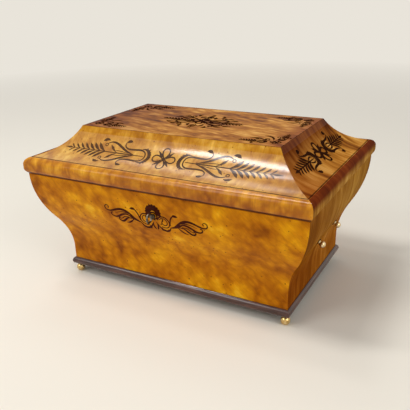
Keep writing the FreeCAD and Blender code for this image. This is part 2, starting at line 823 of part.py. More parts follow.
# Bolt: a bar with two prongs, between which the key's bit swings

bar = block("bolt_bar_blank", (-s.bolt_left, bolt_front, bolt_bottom), (s.bolt_right, bolt_back, bolt_top))
tail = block("bolt_tail", (-(s.notch_left + s.prong_width), bolt_front, bolt_bottom - s.prong_drop),
             (s.notch_right + s.prong_width, bolt_back, bolt_bottom))
notch = block("bolt_notch", (-s.notch_left, bolt_front, bolt_bottom - s.prong_drop),
              (s.notch_right, bolt_back, bolt_bottom - s.notch_roof))
slot_radius = s.stump_diameter / 2 + s.bolt_play
tracks = []
for end, x in (("left", -s.stump_left), ("right", s.stump_right)):
    far = x - s.bolt_throw
    tracks.append(fuse(f"bolt_track_{end}", [
        rod(f"bolt_track_{end}_near", slot_radius, s.bolt_thickness, (x, bolt_front, stump_z), Y_AXIS),
        rod(f"bolt_track_{end}_far", slot_radius, s.bolt_thickness, (far, bolt_front, stump_z), Y_AXIS),
        block(f"bolt_track_{end}_run", (far, bolt_front, stump_z - slot_radius),
              (x, bolt_back, stump_z + slot_radius)),
    ]))
add_node("lock_bolt", cut("lock_bolt_slotted", fuse("bolt_blank", [bar, tail]), [notch] + tracks))

# Spring: a flat leaf from the lock's left wall down to the top of the bolt

spring_left = -(lock_half - s.lock_wall)
spring_low = bolt_top + s.bolt_play
spring_sketch = outline("lock_spring_section", "XZ", [
    (spring_left, spring_low + s.spring_rise),
    (spring_left + s.spring_reach, spring_low),
    (spring_left + s.spring_reach, spring_low + s.spring_thickness),
    (spring_left, spring_low + s.spring_rise + s.spring_thickness),
], works_y + s.spring_width / 2)
add_node("lock_spring", extrude("lock_spring_leaf", spring_sketch, s.spring_width))

# Key: a piped shank with one bit, standing in the keyhole with the bit down

key_end = keep("key_end", plate_y - s.key_end_gap)
bit_start = key_end - s.bit_length
bow_half = s.bow_straight / 2


def half_ring(name, centre_z, turn):
    """One round end of the key's oval bow."""
    ring = doc.addObject("Part::Torus", name)
    bind(ring, "Radius1", s.bow_radius)
    bind(ring, "Radius2", s.bow_thickness / 2)
    ring.Angle3 = 180
    bind_place(ring, (0, bow_y, centre_z), turn)
    return ring


bow = [
    half_ring("key_bow_upper", key_z + bow_half, PLANES["YZ"]),
    half_ring("key_bow_lower", key_z - bow_half, PLANES["YZ"].multiply(Rotation(Vector(0, 0, 1), 180))),
    rod("key_bow_near", s.bow_thickness / 2, s.bow_straight,
        (0, bow_y + s.bow_radius, key_z - bow_half), Rotation()),
    rod("key_bow_far", s.bow_thickness / 2, s.bow_straight,
        (0, bow_y - s.bow_radius, key_z - bow_half), Rotation()),
]
key_blank = fuse("key_blank", [
    rod("key_shank", s.key_shank / 2, key_end - bow_y - s.bow_radius,
        (0, bow_y + s.bow_radius, key_z), Y_AXIS),
    rod("key_collar", s.key_collar / 2, s.key_collar_length, (0, bow_root, key_z), Y_AXIS),
    block("key_bit", (-s.bit_thickness / 2, bit_start, key_z - s.bit_radius),
          (s.bit_thickness / 2, key_end, key_z)),
] + bow)
key_tools = [
    rod("key_bore", s.key_bore / 2, s.key_bore_depth, (0, key_end - s.key_bore_depth, key_z), Y_AXIS),
    block("key_bit_step", (-s.bit_thickness / 2, bit_start, key_z - s.bit_radius),
          (s.bit_thickness / 2, bit_start + s.bit_step, key_z - s.bit_radius + s.bit_step)),
]
add_node("key", cut("key_cut", key_blank, key_tools))

# Lid

for side in SIDES:
    moulding = mitred(f"lid_rim_{side}_blank", side, rim_section, s.rim_proud, s.edge_width, cove_foot)
    if side == "back":
        moulding = cut("lid_rim_back_recessed", moulding, lid_cutters)
    if side == "front":
        staple_y = -(half_width - s.staple_inset)
        staple_half = s.staple_length / 2
        staple_points = [(x, staple_y + s.staple_width / 2, lid_bottom)
                         for x in (-s.staple_screw_spacing / 2, s.staple_screw_spacing / 2)]
        staple_blanks, staple_screws = screws("staple_screw", staple_points, "up")
        recess = block("staple_recess", (-staple_half, staple_y, lid_bottom),
                       (staple_half, staple_y + s.staple_width, lid_bottom + s.staple_thickness))
        moulding = cut("lid_rim_front_recessed", moulding, [recess] + staple_blanks)
    add_node(f"lid_rim_{side}", moulding)
    add_node(f"lid_cove_{side}", mitred(f"lid_cove_{side}_slope", side, cove_section, as_size(0),
                                        s.cove_setback + s.cove_width + s.cove_top_edge, lid_top))

top_long = extrude("lid_top_long", outline("lid_top_long_section", "YZ", top_section(half_width)),
                   2 * half_length, True)
top_short = extrude("lid_top_short", outline("lid_top_short_section", "YZ", top_section(half_length)),
                    2 * half_length, True)
top_short.Placement = FreeCAD.Placement(Vector(), Rotation(Vector(0, 0, 1), 90))
add_node("lid_top", common("lid_top_board", [top_long, top_short]))

# Staple: a plate under the lid's front rim, with the eye that the bolt passes through

plate = block("staple_plate", (-staple_half, staple_y, lid_bottom),
              (staple_half, staple_y + s.staple_width, lid_bottom + s.staple_thickness))
eye_bottom = keep("eye_bottom", bolt_bottom - s.eye_play)
lug_bottom = keep("lug_bottom", eye_bottom - s.lug_foot)
lug_front = works_y - s.lug_width / 2
lug_back = works_y + s.lug_width / 2
lug = block("staple_lug", (s.lug_left, lug_front, lug_bottom), (lug_right, lug_back, lid_bottom))
eye = block("staple_eye", (s.lug_left, lug_front + s.lug_cheek, eye_bottom),
            (lug_right, lug_back - s.lug_cheek, bolt_top + s.eye_play))
add_node("staple", cut("staple_pierced", fuse("staple_blank", [plate, lug]), [eye] + staple_blanks))
add_node("staple_screws", group("staple_screw_set", staple_screws))

doc.recompute()

# Checks and export

for thing in doc.Objects:
    if "Invalid" in thing.State or "Error" in thing.State:
        raise RuntimeError(f"{thing.Name} failed: {thing.State}")
for name, piece in nodes.items():
    if piece.Shape.isNull() or not piece.Shape.isValid() or not piece.Shape.Solids:
        raise RuntimeError(f"{name} has no valid solid")

os.makedirs("parts", exist_ok=True)
for name, piece in nodes.items():
    piece.Shape.exportStep(f"parts/{name}.step")
print(len(nodes), "pieces")
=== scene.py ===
import math
import bpy
import numpy as np
from mathutils import Matrix, Vector
from mathutils.bvhtree import BVHTree


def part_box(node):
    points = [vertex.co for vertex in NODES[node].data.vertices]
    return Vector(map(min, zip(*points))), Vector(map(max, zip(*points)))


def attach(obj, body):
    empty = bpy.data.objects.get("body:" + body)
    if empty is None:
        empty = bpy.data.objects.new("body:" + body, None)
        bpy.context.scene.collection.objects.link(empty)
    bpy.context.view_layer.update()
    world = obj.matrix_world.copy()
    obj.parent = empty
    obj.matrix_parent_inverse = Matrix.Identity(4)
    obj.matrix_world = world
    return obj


# A French-polished casket in mottled maple, with amaranth inlay let into its veneer.
# The frame gives every surface. Lengths are in millimetres, but for those of the lamps and the floor
# and for Blender's own vectors, which are in metres.

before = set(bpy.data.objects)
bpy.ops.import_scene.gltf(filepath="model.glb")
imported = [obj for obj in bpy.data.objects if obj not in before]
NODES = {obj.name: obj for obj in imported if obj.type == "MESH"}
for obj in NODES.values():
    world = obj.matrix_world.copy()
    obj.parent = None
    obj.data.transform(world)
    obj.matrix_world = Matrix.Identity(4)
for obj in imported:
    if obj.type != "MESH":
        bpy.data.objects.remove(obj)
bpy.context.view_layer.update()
MM = 0.001
TO_MM = (1 / MM,) * 3


def middle(node):
    low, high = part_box(node)
    return (low + high) / 2


LID_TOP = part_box("lid_top")[1].z / MM
BOX_MIDDLE = middle("lid_top")
KEY_HEIGHT = middle("lock_key_pin").z / MM
OUTWARD = {"front": (0, -1, 0), "back": (0, 1, 0), "left": (-1, 0, 0), "right": (1, 0, 0)}
ALONG = {"front": (1, 0, 0), "back": (-1, 0, 0), "right": (0, 1, 0), "left": (0, -1, 0)}


def colour(code):
    """A hex colour as linear red, green, blue and alpha."""
    channels = [int(code[i:i + 2], 16) / 255 for i in (1, 3, 5)]
    linear = [c / 12.92 if c <= 0.04045 else ((c + 0.055) / 1.055) ** 2.4 for c in channels]
    return (*linear, 1.0)


def add(tree, kind, inputs=None, stops=(), **settings):
    """Adds a node with its settings and links.

    An input is a value, the output that feeds it, or a node, whose first output then feeds it. A Mix
    node's inputs go by number: 0 is the share, 2 and 3 are its two numbers, 6 and 7 its two colours.
    The stops of a colour ramp are places, each with its hex colour.
    """
    node = tree.nodes.new(kind)
    for name, value in settings.items():
        setattr(node, name, value)
    for name, value in (inputs or {}).items():
        if isinstance(value, bpy.types.Node):
            value = next(output for output in value.outputs if output.enabled)
        if isinstance(value, bpy.types.NodeSocket):
            tree.links.new(value, node.inputs[name])
        else:
            node.inputs[name].default_value = value
    if stops:
        elements = node.color_ramp.elements
        while len(elements) < len(stops):
            elements.new(1)
        for element, (place, code) in zip(elements, stops):
            element.position = place
            element.color = colour(code)
    return node


# Camera, light and floor

VIEW_WIDTH_PX = 410
FOCAL_PX = 550.8
SENSOR_WIDTH = 36
CAMERA_AT = (396, -699.7, 425.4)
CAMERA_AZIMUTH = 29.4
CAMERA_ELEVATION = 21.65
CAMERA_ROLL = -1.78


def set_camera():
    data = bpy.data.cameras.new("camera")
    data.sensor_width = SENSOR_WIDTH
    data.lens = FOCAL_PX / VIEW_WIDTH_PX * SENSOR_WIDTH
    data.clip_start = 10 * MM
    camera = bpy.data.objects.new("camera", data)
    bpy.context.collection.objects.link(camera)
    turn = (Matrix.Rotation(math.radians(CAMERA_AZIMUTH), 4, "Z")
            @ Matrix.Rotation(math.radians(90 - CAMERA_ELEVATION), 4, "X")
            @ Matrix.Rotation(math.radians(CAMERA_ROLL), 4, "Z"))
    camera.matrix_world = Matrix.Translation(Vector(CAMERA_AT) * MM) @ turn
    bpy.context.scene.camera = camera


BODY_AIM = (0, 0, 0.15)
COVE_AIM = (0.09, -0.11, 0.22)
TOP_AIM = (0, -0.15, 0.2)
WORLD_LIGHT = 0.35
BACKDROP = "#E9E4DA"


def softbox(name, place, size, watts, aim):
    """An area lamp that faces the casket, in metres."""
    data = bpy.data.lights.new(name, "AREA")
    data.shape = "RECTANGLE"
    data.size, data.size_y = size
    data.energy = watts
    lamp = bpy.data.objects.new(name, data)
    lamp.location = place
    lamp.rotation_euler = (Vector(place) - Vector(aim)).to_track_quat("Z", "Y").to_euler()
    bpy.context.collection.objects.link(lamp)


def backdrop_rays(tree):
    """1 for the rays that show the backdrop: the camera's, and those that a glossy surface passes on."""
    rays = add(tree, "ShaderNodeLightPath")
    seen = add(tree, "ShaderNodeMath", {0: rays.outputs["Is Camera Ray"], 1: rays.outputs["Is Glossy Ray"]},
               operation="MAXIMUM")
    return add(tree, "ShaderNodeMath", {0: seen, 1: rays.outputs["Is Transmission Ray"]},
               operation="MAXIMUM")


def set_light():
    """Two overhead panes lay the long highlight on the front cove, and a strip behind lights the top."""
    softbox("overhead_window", (-0.76, -0.60, 2.43), (0.24, 1.1), 25, COVE_AIM)
    softbox("overhead_pane", (-0.76, 0.12, 2.46), (0.3, 0.34), 5, COVE_AIM)
    softbox("back_strip", (-1.0, 0.85, 2.05), (1.2, 0.4), 4, TOP_AIM)
    softbox("key_softbox", (-1.5, -2.3, 1.9), (1.4, 1.4), 25, BODY_AIM)
    softbox("side_fill", (2.6, -0.9, 1.6), (1.6, 1.6), 22, BODY_AIM)
    world = bpy.data.worlds.new("studio")
    bpy.context.scene.world = world
    world.use_nodes = True
    tree = world.node_tree
    tree.nodes.clear()
    lighting = add(tree, "ShaderNodeBackground", {"Color": colour("#FFFFFF"), "Strength": WORLD_LIGHT})
    backdrop = add(tree, "ShaderNodeBackground", {"Color": colour(BACKDROP), "Strength": 1.0})
    mixed = add(tree, "ShaderNodeMixShader", {0: backdrop_rays(tree), 1: lighting, 2: backdrop})
    add(tree, "ShaderNodeOutputWorld", {"Surface": mixed})
    bpy.context.scene.view_settings.view_transform = "Standard"


FLOOR_REACH = 30
FLOOR_FADE = (0.7, 2.6)
PAPER = "#EEE8DB"


def set_floor():
    """A matt paper floor, in metres, pale near the casket, that fades into the backdrop far behind it."""
    mesh = bpy.data.meshes.new("floor")
    corners = [(-FLOOR_REACH, -FLOOR_REACH, 0), (FLOOR_REACH, -FLOOR_REACH, 0),
               (FLOOR_REACH, FLOOR_REACH, 0), (-FLOOR_REACH, FLOOR_REACH, 0)]
    mesh.from_pydata(corners, [], [(0, 1, 2, 3)])
    floor = bpy.data.objects.new("floor", mesh)
    bpy.context.collection.objects.link(floor)
    material, tree = new_material("floor_paper")
    place = add(tree, "ShaderNodeTexCoord")
    distance = add(tree, "ShaderNodeVectorMath", {0: place.outputs["Object"]}, operation="LENGTH")
    far = add(tree, "ShaderNodeMapRange", {"Value": distance, "From Min": FLOOR_FADE[0],
                                           "From Max": FLOOR_FADE[1]})
    share = add(tree, "ShaderNodeMath", {0: far, 1: backdrop_rays(tree)}, operation="MULTIPLY")
    paper = add(tree, "ShaderNodeBsdfDiffuse", {"Color": colour(PAPER)})
    glow = add(tree, "ShaderNodeEmission", {"Color": colour(BACKDROP), "Strength": 1.0})
    mixed = add(tree, "ShaderNodeMixShader", {0: share, 1: paper, 2: glow})
    add(tree, "ShaderNodeOutputMaterial", {"Surface": mixed})
    mesh.materials.append(material)


# Materials

def new_material(name):
    material = bpy.data.materials.new(name)
    material.use_nodes = True
    tree = material.node_tree
    tree.nodes.clear()
    return material, tree


def close_material(tree, inputs):
    """Ends a material in one shader."""
    shader = add(tree, "ShaderNodeBsdfPrincipled", inputs)
    add(tree, "ShaderNodeOutputMaterial", {"Surface": shader})


BROAD_PATCH = 55
GRAIN_LINE = 6
FIBRE = 0.9
EYE_SPACING = 8
EYE_EDGE = (0.09, 0.16)
ALONG_THE_GRAIN = 0.02
SEED_SHIFT = (137, 71, 53)
FIGURE_MIDDLE = 0.49
FIGURE_REACH = 0.14


def figured_maple(tree, place, tones, seed, stretch, blister, eyes, turn=(0, 0, 0), quilt=0.5,
                  streak=0.1, contrast=1.0, soft=0.5, patches=0.3):
    """The colour of a figured maple veneer, and the height of its figure.

    The tones run from the dark of the creases to the light of the blisters, whose size is in
    millimetres. The figure is drawn out along the axes whose stretch is small, after the turn. The
    quilt is the share of its pillows, the streak that of the long grain lines and the patches that of
    the broad light and dark areas. The eyes say how dark the small bird's eyes are. These and the
    fibres are drawn a little coarser than real ones, so that they show. A low contrast keeps to the
    middle tones, and a low soft makes the creases crisp. The seed takes another part of the pattern.
    """
    grain = add(tree, "ShaderNodeMapping", {"Vector": place.outputs["Object"], "Scale": TO_MM,
                                            "Rotation": [math.radians(angle) for angle in turn],
                                            "Location": [seed * shift for shift in SEED_SHIFT]})
    drawn = add(tree, "ShaderNodeMapping", {"Vector": grain, "Scale": stretch})
    cloud = add(tree, "ShaderNodeTexNoise", {"Vector": drawn, "Scale": 1 / BROAD_PATCH, "Detail": 2.0})
    mottle = add(tree, "ShaderNodeTexNoise", {"Vector": drawn, "Scale": 1 / blister, "Detail": 6.0,
                                              "Roughness": 0.62, "Distortion": 0.5})
    ripple = add(tree, "ShaderNodeTexNoise", {"Vector": drawn, "Scale": 1.3 / blister, "Detail": 1.0})
    warped = add(tree, "ShaderNodeVectorMath", {0: ripple.outputs["Color"], 1: (1.1 * blister,) * 3,
                                                2: drawn}, operation="MULTIPLY_ADD")
    pillows = add(tree, "ShaderNodeTexVoronoi", {"Vector": warped, "Scale": 1 / blister,
                                                 "Smoothness": soft}, feature="SMOOTH_F1")
    puffed = add(tree, "ShaderNodeMapRange", {"Value": pillows, "From Min": 0.1, "From Max": 0.75,
                                              "To Min": 0.75, "To Max": 0.25})
    quilted = add(tree, "ShaderNodeMix", {0: quilt, 2: mottle, 3: puffed})

    straight = [1 if share == 1 else ALONG_THE_GRAIN for share in stretch]
    lines = add(tree, "ShaderNodeMapping", {"Vector": grain, "Scale": straight})
    long_grain = add(tree, "ShaderNodeTexNoise", {"Vector": lines, "Scale": 1 / GRAIN_LINE,
                                                  "Detail": 4.0, "Roughness": 0.6, "Distortion": 0.25})
    streaked = add(tree, "ShaderNodeMix", {0: streak, 2: quilted, 3: long_grain})
    patched = add(tree, "ShaderNodeMix", {0: patches, 2: streaked, 3: cloud})
    reach = FIGURE_REACH / contrast
    depth = add(tree, "ShaderNodeMapRange", {"Value": patched, "From Min": FIGURE_MIDDLE - reach,
                                             "From Max": FIGURE_MIDDLE + reach})
    wood = add(tree, "ShaderNodeValToRGB", {"Fac": depth}, stops=tones)
    fibre = add(tree, "ShaderNodeTexNoise", {"Vector": lines, "Scale": 1 / FIBRE, "Detail": 2.0})
    fine = add(tree, "ShaderNodeMapRange", {"Value": fibre, "From Min": 0.3, "From Max": 0.7,
                                            "To Min": 0.9, "To Max": 1.06})
    fibred = add(tree, "ShaderNodeVectorMath", {0: wood, "Scale": fine}, operation="SCALE")

    cells = add(tree, "ShaderNodeTexVoronoi", {"Vector": grain, "Scale": 1 / EYE_SPACING})
    spots = add(tree, "ShaderNodeMapRange", {"Value": cells, "From Min": EYE_EDGE[0],
                                             "From Max": EYE_EDGE[1], "To Min": 1.0, "To Max": 0.0})
    flock = add(tree, "ShaderNodeMapRange", {"Value": cloud, "From Min": 0.46, "From Max": 0.56,
                                             "To Max": eyes})
    shown = add(tree, "ShaderNodeMath", {0: spots, 1: flock}, operation="MULTIPLY")
    eyed = add(tree, "ShaderNodeMix", {0: shown, 6: fibred, 7: colour(tones[0][1])}, data_type="RGBA")
    return eyed, quilted


def facing(tree, place, direction, low, high):
    """0 to 1 as the cosine between a surface's normal and a direction goes from low to high."""
    cosine = add(tree, "ShaderNodeVectorMath", {0: place.outputs["Normal"], 1: direction},
                 operation="DOT_PRODUCT")
    return add(tree, "ShaderNodeMapRange", {"Value": cosine, "From Min": low, "From Max": high})


def shaded(tree, place, wood, shades):
    """Wood darkened along an axis: mostly painted shade and painted reflection, in places the wood's own
    tone.

    Each shade is a tone that multiplies the wood's, the axis that it changes along and two places
    on it: it isn't seen at the first and is full at the second.
    """
    parts = add(tree, "ShaderNodeSeparateXYZ", {"Vector": place.outputs["Object"]})
    for tone, axis, clear, full in shades:
        tinted = add(tree, "ShaderNodeVectorMath", {0: wood, 1: colour(tone)[:3]}, operation="MULTIPLY")
        share = add(tree, "ShaderNodeMapRange", {"Value": parts.outputs[axis], "From Min": clear * MM,
                                                 "From Max": full * MM})
        wood = add(tree, "ShaderNodeMix", {0: share, 6: wood, 7: tinted}, data_type="RGBA")
    return wood


def polished(tree, wood, height, bare, gloss, haze, lustre):
    """French polish: thin amber shellac rubbed to a gloss, under which the figure ripples faintly.

    The gloss is the share of the clear coat, which the bare pine inside doesn't have. The haze is the
    coat's roughness, and the lustre the specular level of the wood below it.
    """
    coat = add(tree, "ShaderNodeMapRange", {"Value": bare, "To Min": gloss, "To Max": 0})
    relief = add(tree, "ShaderNodeBump", {"Height": height, "Strength": 0.25, "Distance": 0.3 * MM})
    close_material(tree, {"Base Color": wood, "Roughness": 0.4, "Normal": relief,
                          "Specular IOR Level": lustre, "Specular Tint": colour("#FFD08A"),
                          "Coat Weight": coat, "Coat Roughness": haze})


BARE_EDGE = 0.04


def veneer(name, look, side, gloss=0.1, haze=0.1, lustre=0.08, shades=(), bare_from=-0.1):
    """French-polished maple veneer on a pine core.

    The core shows bare on the faces that turn away from the piece's side of the casket: those whose
    normal's cosine with it is below bare_from.
    """
    material, tree = new_material(name)
    place = add(tree, "ShaderNodeTexCoord")
    figure, height = figured_maple(tree, place, **look)
    core, _ = figured_maple(tree, place, **PINE)
    bare = facing(tree, place, OUTWARD[side], bare_from + BARE_EDGE, bare_from - BARE_EDGE)
    wood = add(tree, "ShaderNodeMix", {0: bare, 6: shaded(tree, place, figure, shades), 7: core},
               data_type="RGBA")
    polished(tree, wood, height, bare, gloss, haze, lustre)
    return material


def lid_top_veneer():
    """The top's veneer, and on its edges that of the slopes below, which run on up to the arris."""
    material, tree = new_material("top_maple")
    place = add(tree, "ShaderNodeTexCoord")
    top, height = figured_maple(tree, place, **TOP)
    slope, _ = figured_maple(tree, place, **COVE)
    end, _ = figured_maple(tree, place, **COVE_END)
    core, _ = figured_maple(tree, place, **PINE)
    upward = facing(tree, place, (0, 0, 1), 0.95, 0.98)
    under = facing(tree, place, (0, 0, 1), -0.05, -0.15)
    normal = add(tree, "ShaderNodeSeparateXYZ", {"Vector": place.outputs["Normal"]})
    sideways = add(tree, "ShaderNodeMath", {0: normal.outputs["X"]}, operation="ABSOLUTE")
    at_end = add(tree, "ShaderNodeMapRange", {"Value": sideways, "From Min": 0.3, "From Max": 0.35})
    edge = add(tree, "ShaderNodeMix", {0: at_end, 6: slope, 7: shaded(tree, place, end, COVE_END_SHADES)},
               data_type="RGBA")
    face = add(tree, "ShaderNodeMix", {0: upward, 6: edge, 7: shaded(tree, place, top, TOP_SHADES)},
               data_type="RGBA")
    wood = add(tree, "ShaderNodeMix", {0: under, 6: face, 7: core}, data_type="RGBA")
    polished(tree, wood, height, under, gloss=0.04, haze=0.1, lustre=0.02)
    return material


AMARANTH_CLOUD = 40


def amaranth(name, tones, gloss, haze=0.1, lustre=0.0, pore=0.8, turn=(0, 0, 0)):
    """Polished amaranth: a hard purple-brown wood with close straight pores, nearly black in shade.

    The pores are drawn coarser than real ones, so that they show.
    """
    material, tree = new_material(name)
    place = add(tree, "ShaderNodeTexCoord")
    grain = add(tree, "ShaderNodeMapping", {"Vector": place.outputs["Object"], "Scale": TO_MM,
                                            "Rotation": [math.radians(angle) for angle in turn]})
    lines = add(tree, "ShaderNodeMapping", {"Vector": grain, "Scale": (0.05, 1, 1)})
    pores = add(tree, "ShaderNodeTexNoise", {"Vector": lines, "Scale": 1 / pore, "Detail": 3.0})
    cloud = add(tree, "ShaderNodeTexNoise", {"Vector": grain, "Scale": 1 / AMARANTH_CLOUD})
    both = add(tree, "ShaderNodeMix", {0: 0.4, 2: pores, 3: cloud})
    depth = add(tree, "ShaderNodeMapRange", {"Value": both, "From Min": 0.32, "From Max": 0.68})
    wood = add(tree, "ShaderNodeValToRGB", {"Fac": depth}, stops=tones)
    relief = add(tree, "ShaderNodeBump", {"Height": pores, "Strength": 0.2, "Distance": 0.1 * MM})
    close_material(tree, {"Base Color": wood, "Roughness": 0.36, "Normal": relief,
                          "Specular IOR Level": lustre, "Coat Weight": gloss, "Coat Roughness": haze})
    return material


def bare_pine():
    """Planed pine without polish, whose long grain shows."""
    material, tree = new_material("plain_board")
    place = add(tree, "ShaderNodeTexCoord")
    wood, _ = figured_maple(tree, place, **PINE)
    close_material(tree, {"Base Color": wood, "Roughness": 0.7, "Specular IOR Level": 0.2})
    return material


DULL_PATCH = 3
RUB_MARK = 0.5


def metal(name, tones, roughness):
    """Turned and hand-polished metal, dulled in patches, with rubbing marks coarse enough to show."""
    material, tree = new_material(name)
    place = add(tree, "ShaderNodeTexCoord")
    in_mm = add(tree, "ShaderNodeMapping", {"Vector": place.outputs["Object"], "Scale": TO_MM})
    cloud = add(tree, "ShaderNodeTexNoise", {"Vector": in_mm, "Scale": 1 / DULL_PATCH, "Detail": 3.0})
    marks = add(tree, "ShaderNodeTexNoise", {"Vector": in_mm, "Scale": 1 / RUB_MARK, "Detail": 2.0})
    share = add(tree, "ShaderNodeMapRange", {"Value": cloud, "From Min": 0.3, "From Max": 0.7})
    tone = add(tree, "ShaderNodeValToRGB", {"Fac": share}, stops=tones)
    rough = add(tree, "ShaderNodeMapRange", {"Value": cloud, "From Min": 0.3, "From Max": 0.7,
                                             "To Min": roughness * 0.75, "To Max": roughness * 1.3})
    relief = add(tree, "ShaderNodeBump", {"Height": marks, "Strength": 0.15, "Distance": 0.02 * MM})
    close_material(tree, {"Base Color": tone, "Metallic": 1.0, "Roughness": rough, "Normal": relief})
    return material


# Tones, each a list of places from dark to light with their hex colours

HONEY = [(0.0, "#803E02"), (0.3, "#B46804"), (0.58, "#D08406"), (0.82, "#E49E0A"), (1.0, "#F0B424")]
STRAW = [(0.0, "#884E0E"), (0.35, "#B0721A"), (0.65, "#C88E2C"), (1.0, "#DEAE4C")]
TAN = [(0.0, "#86440A"), (0.35, "#B06A0C"), (0.65, "#CE8A16"), (1.0, "#E4A82E")]
OLIVE = [(0.0, "#704614"), (0.4, "#9E6A20"), (0.7, "#BE8C3A"), (1.0, "#DCB068")]
CHESTNUT = [(0.0, "#6E380E"), (0.35, "#AC6C22"), (0.65, "#CC903E"), (1.0, "#E8B464")]
UMBER = [(0.0, "#5E2C0E"), (0.35, "#985A18"), (0.65, "#BA7C30"), (1.0, "#D8A254")]
PINE_TONES = [(0.0, "#8E6836"), (0.5, "#A9814C"), (1.0, "#BF9860")]
AMARANTH = [(0.0, "#2A1614"), (0.5, "#4A2C26"), (1.0, "#6A463C")]
INLAY_DARK = [(0.0, "#180802"), (0.5, "#2A1004"), (1.0, "#40200C")]
INLAY_PALE = [(0.0, "#34200A"), (0.5, "#4A2C10"), (1.0, "#66401A")]
INLAY_RED = [(0.0, "#260C04"), (0.5, "#3C1408"), (1.0, "#562210")]

# The figure of each veneer, and that of the pine below it, which is plain long grain

DIAGONAL = (0, -42, 0)
ACROSS_THE_SLOPE = (1, 0.7, 0.7)
UP_THE_END = (0.35, 1, 0.35)
BODY = {"tones": HONEY, "seed": 4, "stretch": (0.8, 1, 1), "turn": DIAGONAL, "blister": 16, "eyes": 1.0,
        "contrast": 0.95, "soft": 0.05, "patches": 0.5}
COVE = {"tones": STRAW, "seed": 3, "stretch": ACROSS_THE_SLOPE, "blister": 14, "eyes": 1.0,
        "quilt": 0.4, "contrast": 0.9, "soft": 0.2}
RIM = {"tones": TAN, "seed": 8, "stretch": ACROSS_THE_SLOPE, "blister": 14, "eyes": 0.3,
       "contrast": 0.85, "soft": 0.3}
BODY_END = {"tones": OLIVE, "seed": 7, "stretch": UP_THE_END, "blister": 20, "eyes": 0.1,
            "streak": 0.35, "contrast": 0.8}
COVE_END = {"tones": CHESTNUT, "seed": 9, "stretch": UP_THE_END, "blister": 18, "eyes": 0.1,
            "streak": 0.3, "contrast": 1.25}
RIM_END = {"tones": OLIVE, "seed": 11, "stretch": UP_THE_END, "blister": 14, "eyes": 0.0,
           "streak": 0.3, "contrast": 0.8}
TOP = {"tones": UMBER, "seed": 13, "stretch": (0.4, 1, 1), "turn": (0, 0, 16), "blister": 11,
       "eyes": 0.2, "streak": 0.35, "contrast": 1.4}
PINE = {"tones": PINE_TONES, "seed": 15, "stretch": (0.1, 1, 1), "blister": 30, "eyes": 0.0,
        "quilt": 0.0, "streak": 0.8}

# Darker tones, mostly painted shade and painted reflection: a tone, its axis, and where on it the tone
# isn't seen and where it is full

# Painted shadow: the body's front and back darken just under the lid's rim, where its overhang shades them.
BODY_JOINT_PAINTED_SHADOW = [("#8A5030", "Z", 172, 173.5)]
# Painted shade: the rim darkens down its lower half, which faces away from the light, and most at its
# bottom edge over the joint.
RIM_PAINTED_SHADE = [("#F4E4D0", "Z", 190, 180), ("#6A3820", "Z", 177.5, 175.5)]
# Partly the veneer's own tone and partly painted reflection: the end rims turn reddish towards their upper
# rounding.
RIM_END_TONE_AND_PAINTED_REFLECTION = [("#AC6A52", "Z", 184, 192)]
# Painted reflection: the ends turn russet low down, where the polish shows the floor, and darker towards
# the front, so the far part looks lit by sheen.
BODY_END_PAINTED_REFLECTION = [("#F8D4A0", "Z", 125, 60), ("#D8C0A8", "Y", 70, -110)]
# Darker towards the top and towards the front.
COVE_END_SHADES = [("#B48E74", "Z", 208, 232), ("#C4A084", "Y", 0, -110)]
# Darker over the left third and at the right edge.
TOP_SHADES = [("#B08C84", "X", -40, -150), ("#C08C70", "X", 120, 165)]

# Each metal: its tones and roughness

METALS = {
    "turned_brass": ([(0.0, "#C29C58"), (0.6, "#DDBE80"), (1.0, "#EED9A6")], 0.24),
    "worn_brass": ([(0.0, "#D8BC8C"), (0.6, "#E8D2A4"), (1.0, "#F2E4C0")], 0.3),
    # Painted shade: the knob parts round each ball are dark, for the shaded recess behind the ball.
    "painted_shade_brass": ([(0.0, "#3A2812"), (1.0, "#5A4020")], 0.5),
    "filed_iron": ([(0.0, "#84827E"), (1.0, "#BDBBB5")], 0.28),
    "handled_iron": ([(0.0, "#464038"), (1.0, "#8A8276")], 0.32),
}

# How a metal piece's name begins, and its metal. The first that fits counts.

METAL_OF = [("key", "handled_iron"), ("knob_left", "worn_brass"), ("knob_right", "worn_brass"),
            ("knob_", "painted_shade_brass"), ("foot_", "turned_brass"), ("hinge_", "turned_brass"),
            ("lock_", "filed_iron"), ("staple", "filed_iron")]


def dress(node, material):
    for slot in NODES[node].material_slots:
        slot.material = material


def dress_maple():
    for side in ("front", "back"):
        dress(f"body_{side}", veneer(f"mottled_maple_{side}", BODY, side, lustre=0.05,
                                     shades=BODY_JOINT_PAINTED_SHADOW, bare_from=0.15))
        dress(f"lid_cove_{side}", veneer(f"cove_maple_{side}", COVE, side, gloss=1.0, haze=0.17))
        dress(f"lid_rim_{side}", veneer(f"rim_maple_{side}", RIM, side, gloss=0.4, haze=0.16,
                                        shades=RIM_PAINTED_SHADE, bare_from=0.1))
    for side in ("left", "right"):
        dress(f"body_{side}", veneer(f"end_maple_{side}", BODY_END, side, gloss=0.03, lustre=0.0,
                                     shades=BODY_END_PAINTED_REFLECTION, bare_from=0.15))
        dress(f"lid_cove_{side}", veneer(f"end_cove_maple_{side}", COVE_END, side, gloss=0.04,
                                         lustre=0.0, shades=COVE_END_SHADES))
        dress(f"lid_rim_{side}", veneer(f"end_rim_maple_{side}", RIM_END, side, gloss=0.06, haze=0.14,
                                        lustre=0.0, shades=RIM_END_TONE_AND_PAINTED_REFLECTION, bare_from=0.1))
    dress("lid_top", lid_top_veneer())


def dress_plinth():
    for side, angle in (("front", 0), ("back", 0), ("left", 90), ("right", 90)):
        dress(f"plinth_{side}", amaranth(f"amaranth_{side}", AMARANTH, gloss=0.9, lustre=0.08, pore=1.4,
                                         turn=(0, 0, angle)))


def dress_metal():
    metals = {name: metal(name, *look) for name, look in METALS.items()}
    for node in NODES:
        kinds = [kind for start, kind in METAL_OF if node.startswith(start)]
        if kinds:
            dress(node, metals[kinds[0]])


# Surfaces that the inlay is let into

